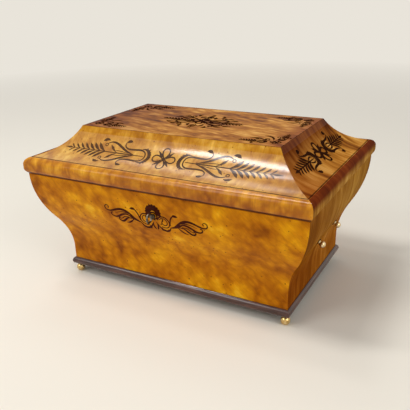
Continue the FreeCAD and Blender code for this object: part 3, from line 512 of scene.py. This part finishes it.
class Surface:
    """One outer face of the casket, seen as a flat sheet: u runs along it, v up it.

    The outs and heights are the points of its section, and the places their v.
    """

    def __init__(self, side, outs, heights, places):
        self.along = np.array(ALONG[side], float)
        self.outward = np.array(OUTWARD[side], float)
        self.outs, self.heights, self.places = outs, heights, places
        slope_out = np.gradient(outs)
        slope_up = np.gradient(heights)
        length = np.hypot(slope_out, slope_up)
        self.normal_out, self.normal_up = slope_up / length, -slope_out / length

    def lay(self, points):
        """Points of the flat sheet, with their height above it, taken to the casket, in metres."""
        u, v, lift = points.T
        out, up, n_out, n_up = (np.interp(v, self.places, table) for table in
                                (self.outs, self.heights, self.normal_out, self.normal_up))
        flat = np.outer(u, self.along) + np.outer(out + lift * n_out, self.outward)
        flat[:, 2] += up + lift * n_up
        return flat * MM + np.array([BOX_MIDDLE.x, BOX_MIDDLE.y, 0])


def ray_target(node):
    """The node's surface, ready for rays to be cast at it."""
    mesh = NODES[node].data
    return BVHTree.FromPolygons([v.co for v in mesh.vertices], [p.vertices for p in mesh.polygons])


SLOPE_STEP = 0.5
OVER_THE_FOOT = 2
NEAR_THE_TOP = 0.05


def slope_surface(side):
    """A cove's hollow slope. v is measured up the slope from its foot.

    Rays that fall from above, each nearer to the middle than the last, find the slope's height until
    they reach its top edge or fall past it, to about its foot's height or lower.
    """
    outward = Vector(OUTWARD[side])
    low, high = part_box(f"lid_cove_{side}")
    reach = max(abs((corner - BOX_MIDDLE).dot(outward)) for corner in (low, high)) / MM
    target = ray_target(f"lid_cove_{side}")
    outs, heights = [], []
    out = reach - SLOPE_STEP / 4
    while True:
        start = BOX_MIDDLE + outward * (out * MM)
        hit = target.ray_cast(Vector((start.x, start.y, high.z + 1)), Vector((0, 0, -1)))[0]
        if hit is None or hit.z < low.z + OVER_THE_FOOT * MM:
            break
        outs.append(out)
        heights.append(hit.z / MM)
        if hit.z > high.z - NEAR_THE_TOP * MM:
            break
        out -= SLOPE_STEP
    places = np.concatenate([[0], np.cumsum(np.hypot(np.diff(outs), np.diff(heights)))])
    return Surface(side, np.array(outs), np.array(heights), places)


UPRIGHT_STEP = 1.0
CLEAR_OF_KEYHOLE = 60


def upright_surface(side):
    """A body side. v is the height above the floor. The section is taken clear of the keyhole."""
    outward = Vector(OUTWARD[side])
    low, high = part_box(f"body_{side}")
    target = ray_target(f"body_{side}")
    heights = np.arange(low.z / MM + UPRIGHT_STEP / 2, high.z / MM, UPRIGHT_STEP)
    outs = []
    for height in heights:
        start = BOX_MIDDLE + outward + Vector(ALONG[side]) * CLEAR_OF_KEYHOLE * MM
        hit = target.ray_cast(Vector((start.x, start.y, height * MM)), -outward)[0]
        outs.append((hit - BOX_MIDDLE).dot(outward) / MM)
    return Surface(side, np.array(outs), heights, heights)


TOP_REACH = 200.0


def top_surface():
    """The flat top. v runs to the back."""
    places = np.array([-TOP_REACH, TOP_REACH])
    return Surface("front", -places, np.full(2, LID_TOP), places)


# Ornament, drawn flat in millimetres. A stroke is a list of points: along, across, half its width.

SCROLL_STEPS = 12
LEAF_STROKE = [(1.2, 0.6, 0.2), (5, 2.2, 1.0), (10, 5.6, 2.0), (14.2, 10, 1.9), (17.2, 14.4, 0.1)]


def spiral(centre, radii, angles, widths):
    """A scroll that winds from the first radius and angle to the last."""
    points = []
    for i in range(SCROLL_STEPS + 1):
        share = i / SCROLL_STEPS
        radius = radii[0] + (radii[1] - radii[0]) * share
        angle = math.radians(angles[0] + (angles[1] - angles[0]) * share)
        width = widths[0] + (widths[1] - widths[0]) * share
        points.append((centre[0] + radius * math.cos(angle), centre[1] + radius * math.sin(angle), width))
    return points


def berry(centre, radius):
    """A round berry, drawn as one short stroke that swells to its width."""
    x, y = centre
    return [(x - radius, y, 0.05), (x - 0.75 * radius, y, 0.66 * radius), (x, y, radius),
            (x + 0.75 * radius, y, 0.66 * radius), (x + radius, y, 0.05)]


def moved(strokes, size=1.0, angle=0.0, shift=(0, 0), flip_along=False, flip_across=False):
    """Strokes scaled, mirrored, turned and then shifted."""
    turn, sine = math.cos(math.radians(angle)), math.sin(math.radians(angle))
    result = []
    for stroke in strokes:
        points = []
        for x, y, width in stroke:
            x, y = (-x if flip_along else x) * size, (-y if flip_across else y) * size
            points.append((x * turn - y * sine + shift[0], x * sine + y * turn + shift[1], width * size))
        result.append(points)
    return result


def both_ways(strokes):
    return strokes + moved(strokes, flip_across=True)


def both_ends(strokes):
    return strokes + moved(strokes, flip_along=True)


def flower():
    """Four pointed petals on a cross, drawn in thick outline, with a leaf between each pair."""
    half = [(1.5, 0.3, 0.9), (6, 3.4, 1.05), (10.5, 5.2, 1.1), (15, 4.6, 1.05), (17.6, 0, 0.9)]
    petal = half + [(x, -y, width) for x, y, width in half[-2::-1]]
    strokes = [berry((0, 0), 2.4)]
    for i in range(4):
        strokes += moved([petal, [(3, 3, 0.4), (7.5, 7.5, 1.9), (12.5, 12.5, 0.2)]], angle=90 * i)
    return strokes


TOOTH_RADIUS = 1.15
TOOTH_OUT = 1.9
TOOTHED_ARC = 150


def crescent(centre, radius, teeth):
    """A thick crescent, open outwards, with scalloped teeth on its back."""
    back = []
    for angle, width in ((75, 0.3), (105, 1.2), (135, 1.9), (160, 2.2), (180, 2.3), (200, 2.2),
                         (225, 1.9), (255, 1.2), (285, 0.3)):
        turn = math.radians(angle)
        back.append((centre + radius * math.cos(turn), radius * math.sin(turn), width))
    strokes = [back]
    for i in range(teeth):
        angle = math.radians(180 + (i - (teeth - 1) / 2) * TOOTHED_ARC / teeth)
        reach = radius + TOOTH_OUT
        tooth = (centre + reach * math.cos(angle), reach * math.sin(angle))
        strokes.append(berry(tooth, TOOTH_RADIUS))
    return strokes


def long_spray():
    """Half of the front cove's ornament: crescent, lyre, bud and stem, without the palm's leaves."""
    whole = crescent(36.5, 12, teeth=9) + [
        [(68, 20, 0.5), (69.5, 17, 0.6), (68.5, 13, 0.8), (64.5, 10, 1.0), (57, 9, 1.2), (48, 9.4, 1.25),
         (40, 9.6, 1.1), (34.5, 7.5, 0.9), (31.5, 3.5, 0.8), (31, 0, 0.8), (31.5, -3.5, 0.8),
         (34.5, -7.5, 0.9), (40, -9.6, 1.1), (48, -9.4, 1.25), (57, -9, 1.2), (64.5, -10, 1.0),
         (68.5, -13, 0.8), (69.5, -17, 0.6), (68, -20, 0.5)],
        [(33.5, 0, 0.4), (60, 0, 0.8), (98, 0, 0.7), (160, 0, 0.35)],
        [(157, 0, 0.3), (163, 0, 1.7), (172, 0, 0.05)],
    ]
    paired = [
        [(59.5, 20.5, 0.1), (62, 21.3, 1.6), (65, 21, 2.1), (68.3, 19.3, 0.7)],
        [(50, 0.8, 0.2), (58, 3, 1.1), (66, 6.2, 1.4), (74, 10.5, 1.5), (82, 14.8, 1.5), (89, 17, 1.2),
         (95, 16.8, 0.8), (99.5, 14.5, 0.5)],
        spiral((101.5, 12), (2.2, 2.2), (0, 360), (0.6, 0.6)),
        [(98, 19, 0.1), (102, 20.4, 1.5), (106, 19.6, 2.1), (110, 17, 0.2)],
        [(79, 0.8, 0.2), (84, 3.6, 0.9), (89, 8, 1.8), (93.5, 12.5, 0.2)],
        [(60, 1.8, 0.2), (70, 3.4, 0.5), (80, 4.2, 0.4), (86, 3, 0.1)],
    ]
    return whole + both_ways(paired)


def short_spray():
    """The same for an end: no long leaves, and the palm begins inside the lyre."""
    whole = crescent(33.5, 11.2, teeth=7) + [
        [(55.5, 18, 0.4), (55.5, 14.5, 0.5), (51, 11.8, 0.8), (44, 10.3, 1.1), (36, 9.6, 1.1),
         (31, 7.4, 0.9), (28, 3.5, 0.8), (27.3, 0, 0.8), (28, -3.5, 0.8), (31, -7.4, 0.9),
         (36, -9.6, 1.1), (44, -10.3, 1.1), (51, -11.8, 0.8), (55.5, -14.5, 0.5), (55.5, -18, 0.4)],
        [(30, 0, 0.4), (48, 0, 0.8), (88, 0, 0.6)],
        [(85, 0, 0.3), (91, 0, 1.4), (98, 0, 0.05)],
    ]
    paired = [
        [(47.5, 19, 0.1), (50, 19.8, 1.8), (53, 19.6, 2.2), (56.5, 17.5, 0.3)],
        [(30.5, 3.2, 0.2), (36, 5, 0.8), (42, 3.6, 0.9), (47, 0.8, 0.2)],
    ]
    return whole + both_ways(paired)


def wing():
    """The right half of the ornament round the keyhole, measured from the key's axis."""
    return [
        spiral((14.5, -8.5), (9.6, 8.4), (165, -120), (0.9, 0.6)),
        spiral((14.5, -8.5), (7.4, 2.2), (150, -250), (0.5, 0.8)),
        berry((13.5, -4.2), 1.3),
        berry((9.5, -12), 1.1),
        [(4.5, -13, 0.3), (7.5, -18.5, 1.1), (13.5, -22.3, 1.6), (19.5, -21.3, 1.3), (24, -16, 0.6)],
        [(10, -17.5, 0.8), (8.5, -21, 0.9), (9.5, -24, 0.2)],
        [(2.5, -10, 0.4), (3.6, -15, 0.9), (2.6, -20, 1.2), (0.8, -23, 0.2)],
        [(24, -12, 0.5), (25, -6, 0.9), (27, 0, 0.9), (30, 4, 0.8)],
        [(29.5, 3.6, 0.4), (32, 5.2, 1.6), (35, 5.2, 1.7), (38.5, 4.6, 0.2)],
        [(23.5, -15.5, 0.6), (29, -13.8, 1.2), (35, -11, 2.3), (41, -8.2, 1.2), (46, -6.5, 0.3)],
        [(31, -13, 0.8), (38, -6.3, 1.2), (46, -1.3, 1.7), (54, 0.4, 1.6), (62, -1, 1.4), (70, -3.8, 1.1),
         (76.5, -5, 0.9), (81, -3.4, 0.8), (82.2, 0.4, 0.7), (79.4, 3.4, 0.6), (76, 2, 0.5),
         (76.6, -1, 0.9)],
        [(37, -9.6, 0.5), (46, -6.4, 1.1), (54, -8, 1.4), (61, -12, 1.4), (67, -13.8, 1.1),
         (72.5, -12, 0.9), (73.6, -8.4, 0.6), (70.4, -7, 0.9)],
        [(38, -12, 0.5), (45, -12.2, 1.0), (51, -16.5, 1.4), (56.5, -20, 1.4), (61, -18.6, 1.0),
         (62, -15.4, 0.6), (59, -14.4, 0.9)],
        [(36, -12.6, 0.5), (40.5, -17, 1.1), (46.5, -20.4, 0.9), (51, -21, 0.1)],
        [(40, -5.6, 0.3), (48, -3.6, 0.7), (58, -4.6, 0.5), (66, -7.4, 0.1)],
        [(43, -10, 0.3), (51, -11.4, 0.7), (57, -15.4, 0.5), (60, -16.4, 0.1)],
    ]


SHELL_LOBES = 11
SHELL_UP = 3.6
SHELL_FIRST_ANGLE = -8
SHELL_ARC = 196


def shell():
    """The scalloped palmette over the keyhole, tallest in its middle."""
    strokes = []
    for i in range(SHELL_LOBES):
        angle = SHELL_FIRST_ANGLE + SHELL_ARC * i / (SHELL_LOBES - 1)
        reach = 11.6 + 1.4 * math.sin(math.radians(angle))
        lobe = [(4.4, 0, 0.6), (reach * 0.7, 0, 1.5), (reach, 0, 1.75), (reach + 1.3, 0, 0.1)]
        strokes += moved([lobe], angle=angle, shift=(0, SHELL_UP))
    return strokes + [spiral((0, SHELL_UP), (6.4, 6.4), (0, 180), (0.9, 0.9))]


def keyhole_ring():
    """The ring round the keyhole, open at its foot: an inlaid ring, and also painted shade round the key.
    """
    return [spiral((0, 0), (5.4, 5.4), (-66, 246), (1.0, 1.0))]


# Sizes of the short spray where the top repeats it

LONG_ARM = 0.7
SHORT_ARM = 0.45
CORNER_ARM = 0.52
CORNER_SIDE_ARM = 0.44
CORNER_OUT = 4


def medallion():
    """The oval spray in the middle of the top, without its palms' leaves."""
    arms = moved(short_spray(), size=LONG_ARM) + moved(short_spray(), size=SHORT_ARM, angle=90)
    branch = [
        [(9, 6, 0.3), (16, 12, 1.0), (25, 16, 1.3), (34, 16.5, 1.1), (40, 13.5, 0.6)],
        spiral((25, 23.5), (5.2, 1.0), (-90, 250), (1.0, 0.6)),
        [(30, 22, 0.3), (36, 24.5, 1.7), (43, 23.5, 0.1)],
        [(19, 27, 0.3), (21, 33, 1.6), (18, 39, 0.1)],
        [(40, 15, 0.3), (47, 17, 1.6), (54, 14.5, 0.1)],
        [(12, 17, 0.3), (11.5, 24, 1.5), (8, 30, 0.1)],
    ]
    half = arms + both_ways(branch)
    return both_ends(half) + moved(flower(), size=0.85)


def corner_spray():
    """A corner of the top: two small palms at a right angle, with a flower between them.

    +X and +Y lead inwards. The palms' leaves aren't in it.
    """
    curls = [
        spiral((17, 13), (5.0, 0.9), (-140, 200), (0.9, 0.5)),
        [(9, 12, 0.3), (12.5, 20, 0.9), (19, 26, 1.1), (28, 27, 0.1)],
        [(20, 8, 0.3), (27, 13, 0.9), (34, 14.5, 1.1), (42, 11, 0.1)],
    ]
    palms = (moved(short_spray(), size=CORNER_ARM, shift=(CORNER_OUT, 0))
             + moved(short_spray(), size=CORNER_SIDE_ARM, angle=90, shift=(0, CORNER_OUT)))
    return palms + curls + moved(flower(), size=0.42, shift=(3, 3))


# Making the inlay

STROKE_STEP = 0.002
CURVE_STEPS = 6


def new_tree(name, *inputs):
    tree = bpy.data.node_groups.new(name, "GeometryNodeTree")
    for label, kind in (("Geometry", "NodeSocketGeometry"), *inputs):
        tree.interface.new_socket(label, in_out="INPUT", socket_type=kind)
    tree.interface.new_socket("Geometry", in_out="OUTPUT", socket_type="NodeSocketGeometry")
    return tree


def close_tree(tree, geometry, material):
    real = add(tree, "GeometryNodeRealizeInstances", {"Geometry": geometry})
    painted = add(tree, "GeometryNodeSetMaterial", {"Geometry": real, "Material": material})
    add(tree, "NodeGroupOutput", {"Geometry": painted})


def ribbon_tree(material):
    """Every stroke becomes a flat ribbon as wide as its curve's radius says."""
    tree = new_tree("inlay_ribbons")
    start = add(tree, "NodeGroupInput")
    flat_curve = add(tree, "GeometryNodeSetCurveNormal", {"Curve": start}, mode="Z_UP")
    across = add(tree, "GeometryNodeCurvePrimitiveLine", {"Start": (-1, 0, 0), "End": (1, 0, 0)})
    width = add(tree, "GeometryNodeInputRadius")
    ribbon = add(tree, "GeometryNodeCurveToMesh", {"Curve": flat_curve, "Profile Curve": across,
                                                   "Scale": width})
    close_tree(tree, ribbon, material)
    return tree


def palm_tree(material):
    """Pairs of leaves along a straight stem, each smaller than the last."""
    tree = new_tree("palm_leaves", ("Leaf", "NodeSocketObject"), ("Pairs", "NodeSocketInt"),
                    ("First size", "NodeSocketFloat"), ("Last size", "NodeSocketFloat"))
    start = add(tree, "NodeGroupInput")
    leaf = add(tree, "GeometryNodeObjectInfo", {"Object": start.outputs["Leaf"]})
    stem = add(tree, "GeometryNodeResampleCurve", {"Curve": start, "Count": start.outputs["Pairs"]})
    place = add(tree, "GeometryNodeSplineParameter")
    size = add(tree, "ShaderNodeMapRange", {"Value": place, "To Min": start.outputs["First size"],
                                            "To Max": start.outputs["Last size"]})
    sides = add(tree, "GeometryNodeJoinGeometry")
    for hand in (1, -1):
        across = add(tree, "ShaderNodeMath", {0: size, 1: hand}, operation="MULTIPLY")
        scale = add(tree, "ShaderNodeCombineXYZ", {"X": size, "Y": across, "Z": 1.0})
        leaves = add(tree, "GeometryNodeInstanceOnPoints", {"Points": stem, "Scale": scale,
                                                            "Instance": leaf.outputs["Geometry"]})
        tree.links.new(leaves.outputs[0], sides.inputs[0])
    close_tree(tree, sides, material)
    return tree


def curves_from(strokes, name, bold=1.0):
    """Smooth curves through the strokes' points. Each lies a hair above the last, so none coincide."""
    data = bpy.data.curves.new(name, "CURVE")
    data.dimensions = "3D"
    data.resolution_u = CURVE_STEPS
    for i, stroke in enumerate(strokes):
        spline = data.splines.new("BEZIER")
        spline.bezier_points.add(len(stroke) - 1)
        for point, (x, y, width) in zip(spline.bezier_points, stroke):
            point.co = (x, y, i * STROKE_STEP)
            point.radius = width * bold
            point.handle_left_type = point.handle_right_type = "AUTO"
    made = bpy.data.objects.new(name, data)
    bpy.context.collection.objects.link(made)
    return made


def run_tree(thing, tree, **inputs):
    """Applies a tree with its inputs set, and returns the mesh that it makes."""
    modifier = thing.modifiers.new("tree", "NODES")
    modifier.node_group = tree
    for item in tree.interface.items_tree:
        if item.in_out == "INPUT" and item.name in inputs:
            modifier[item.identifier] = inputs[item.name]
    graph = bpy.context.evaluated_depsgraph_get()
    mesh = bpy.data.meshes.new_from_object(thing.evaluated_get(graph))
    bpy.data.objects.remove(thing)
    return mesh


def sheet_from(mesh):
    """A flat mesh as its points and its faces, every face looking up."""
    points = np.zeros(len(mesh.vertices) * 3)
    mesh.vertices.foreach_get("co", points)
    faces = [list(p.vertices) if p.normal.z > 0 else list(p.vertices)[::-1] for p in mesh.polygons]
    bpy.data.meshes.remove(mesh)
    return points.reshape(-1, 3), faces


def flat_strokes(strokes, ribbons, bold=1.0):
    """The ribbons of some strokes as one flat sheet."""
    return sheet_from(run_tree(curves_from(strokes, "strokes", bold), ribbons))


def flat_palm(ribbons, palms, bold, start, end, pairs, sizes):
    """The leaves of a palm whose stem runs from start to end, from the first size to the last."""
    leaf = bpy.data.objects.new("leaf", run_tree(curves_from([LEAF_STROKE], "leaf", bold), ribbons))
    bpy.context.collection.objects.link(leaf)
    stem = curves_from([[(start, 0, 1), (end, 0, 1)]], "stem")
    inputs = {"Leaf": leaf, "Pairs": pairs, "First size": sizes[0], "Last size": sizes[1]}
    palm = sheet_from(run_tree(stem, palms, **inputs))
    bpy.data.objects.remove(leaf)
    return palm


def placed(sheet, size=1.0, angle=0.0, shift=(0, 0), flip_along=False, flip_across=False):
    """A flat sheet scaled, mirrored, turned and then shifted, as strokes are."""
    points, faces = sheet
    points = points.copy()
    if flip_along:
        points[:, 0] *= -1
    if flip_across:
        points[:, 1] *= -1
    if flip_along != flip_across:
        faces = [face[::-1] for face in faces]
    turn, sine = math.cos(math.radians(angle)), math.sin(math.radians(angle))
    x, y = points[:, 0] * size, points[:, 1] * size
    points[:, 0] = x * turn - y * sine + shift[0]
    points[:, 1] = x * sine + y * turn + shift[1]
    return points, faces


def both_halves(*sheets):
    """Sheets that are drawn for the right half, and their mirror images for the left."""
    return [placed(sheet, flip_along=flip) for sheet in sheets for flip in (False, True)]


INLAY_PROUD = 0.1
INLAY_DEPTH = 0.35


def let_in(name, sheets, surface, centre, material, body="lid"):
    """Lays flat sheets on a surface as one inlay, a little proud of it and let into it."""
    points, faces = [], []
    count = 0
    for sheet_points, sheet_faces in sheets:
        points.append(sheet_points)
        faces += [[count + i for i in face] for face in sheet_faces]
        count += len(sheet_points)
    flat = np.vstack(points) + np.array([*centre, INLAY_PROUD])
    mesh = bpy.data.meshes.new(name)
    mesh.from_pydata(surface.lay(flat).tolist(), [], faces)
    inlay = bpy.data.objects.new(name, mesh)
    bpy.context.collection.objects.link(inlay)
    depth = inlay.modifiers.new("depth", "SOLIDIFY")
    depth.thickness = INLAY_DEPTH * MM
    depth.offset = -1
    graph = bpy.context.evaluated_depsgraph_get()
    inlay.data = bpy.data.meshes.new_from_object(inlay.evaluated_get(graph))
    inlay.modifiers.clear()
    inlay.data.materials.clear()
    inlay.data.materials.append(material)
    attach(inlay, body)


# How much wider the strokes are laid than they are drawn

FRONT_BOLD = 1.18
END_BOLD = 1.5
END_LEAF_BOLD = 1.3
END_FLOWER_BOLD = 1.6
TOP_BOLD = 1.7
KEYHOLE_BOLD = 1.15

# Places on their surfaces: along, and up or back

COVE_FRONT_MIDDLE = (0, 34.5)
COVE_END_MIDDLE = (0, 35.5)
MEDALLION_MIDDLE = (-3, 3)
CORNER_AT = (145, 68)

STRING_INSET = 0.7
STRING_HALF = 0.4
FOOT_STRING_AT = 1.2
FOOT_STRING_HALF = 0.6


def inlay_front_cove(ribbons, palms, pale_inlay):
    palm = flat_palm(ribbons, palms, FRONT_BOLD, start=97.5, end=153, pairs=7, sizes=(1.0, 0.52))
    half = flat_strokes(long_spray(), ribbons, FRONT_BOLD)
    bloom = flat_strokes(flower(), ribbons)
    let_in("inlay_cove_front", [bloom] + both_halves(palm, half), slope_surface("front"),
           COVE_FRONT_MIDDLE, pale_inlay)


def inlay_end_coves(ribbons, short_palm, dark):
    half = flat_strokes(short_spray(), ribbons, END_BOLD)
    bloom = flat_strokes(flower(), ribbons, END_FLOWER_BOLD)
    for side in ("right", "left"):
        let_in(f"inlay_cove_{side}", [bloom] + both_halves(short_palm, half), slope_surface(side),
               COVE_END_MIDDLE, dark)


def inlay_top(ribbons, short_palm, dark):
    top = top_surface()
    oval = flat_strokes(medallion(), ribbons, TOP_BOLD)
    fans = both_halves(placed(short_palm, LONG_ARM)) + [placed(short_palm, SHORT_ARM, angle=angle)
                                                        for angle in (90, 270)]
    let_in("inlay_top_medallion", [oval] + fans, top, MEDALLION_MIDDLE, dark)
    corner = [flat_strokes(corner_spray(), ribbons, TOP_BOLD),
              placed(short_palm, CORNER_ARM, shift=(CORNER_OUT, 0)),
              placed(short_palm, CORNER_SIDE_ARM, angle=90, shift=(0, CORNER_OUT))]
    for end, name in ((-1, "left"), (1, "right")):
        for face, row in ((-1, "front"), (1, "back")):
            sheets = [placed(sheet, flip_along=end > 0, flip_across=face > 0) for sheet in corner]
            let_in(f"inlay_top_{row}_{name}", sheets, top, (end * CORNER_AT[0], face * CORNER_AT[1]), dark)


def lay_stringing(ribbons, dark):
    """The thin dark lines round the top and along the foot of each cove."""
    arris = [v.co - BOX_MIDDLE for v in NODES["lid_top"].data.vertices
             if v.co.z > (LID_TOP - NEAR_THE_TOP) * MM]
    x = max(corner.x for corner in arris) / MM - STRING_INSET
    y = max(corner.y for corner in arris) / MM - STRING_INSET
    lines = [((-x, -y), (x, -y)), ((-x, y), (x, y)), ((-x, -y), (-x, y)), ((x, -y), (x, y))]
    border = [[(*start, STRING_HALF), (*end, STRING_HALF)] for start, end in lines]
    let_in("stringing_top", [flat_strokes(border, ribbons)], top_surface(), (0, 0), dark)
    for side, along in ALONG.items():
        low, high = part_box(f"lid_cove_{side}")
        half = abs((high - low).dot(Vector(along))) / 2 / MM - FOOT_STRING_AT
        line = [[(-half, FOOT_STRING_AT, FOOT_STRING_HALF), (half, FOOT_STRING_AT, FOOT_STRING_HALF)]]
        let_in(f"stringing_{side}", [flat_strokes(line, ribbons)], slope_surface(side), (0, 0), dark)


def inlay_keyhole(ribbons, red):
    strokes = both_ends(wing()) + shell() + keyhole_ring()
    let_in("inlay_body_front", [flat_strokes(strokes, ribbons, KEYHOLE_BOLD)], upright_surface("front"),
           (0, KEY_HEIGHT), red, body="case")


def inlay_all():
    dark = amaranth("inlaid_amaranth", INLAY_DARK, gloss=0.02)
    # The front cove's inlay is a paler amaranth than the rest.
    pale_inlay = amaranth("pale_amaranth", INLAY_PALE, gloss=0.55, haze=0.17)
    red = amaranth("red_amaranth", INLAY_RED, gloss=0.04, lustre=0.02)
    ribbons = ribbon_tree(dark)
    palms = palm_tree(dark)
    short_palm = flat_palm(ribbons, palms, END_LEAF_BOLD, start=43, end=84, pairs=6, sizes=(0.95, 0.5))
    inlay_front_cove(ribbons, palms, pale_inlay)
    inlay_end_coves(ribbons, short_palm, dark)
    inlay_top(ribbons, short_palm, dark)
    lay_stringing(ribbons, dark)
    inlay_keyhole(ribbons, red)


set_camera()
set_light()
set_floor()
dress_maple()
dress("bottom_board", bare_pine())
dress_plinth()
dress_metal()
inlay_all()
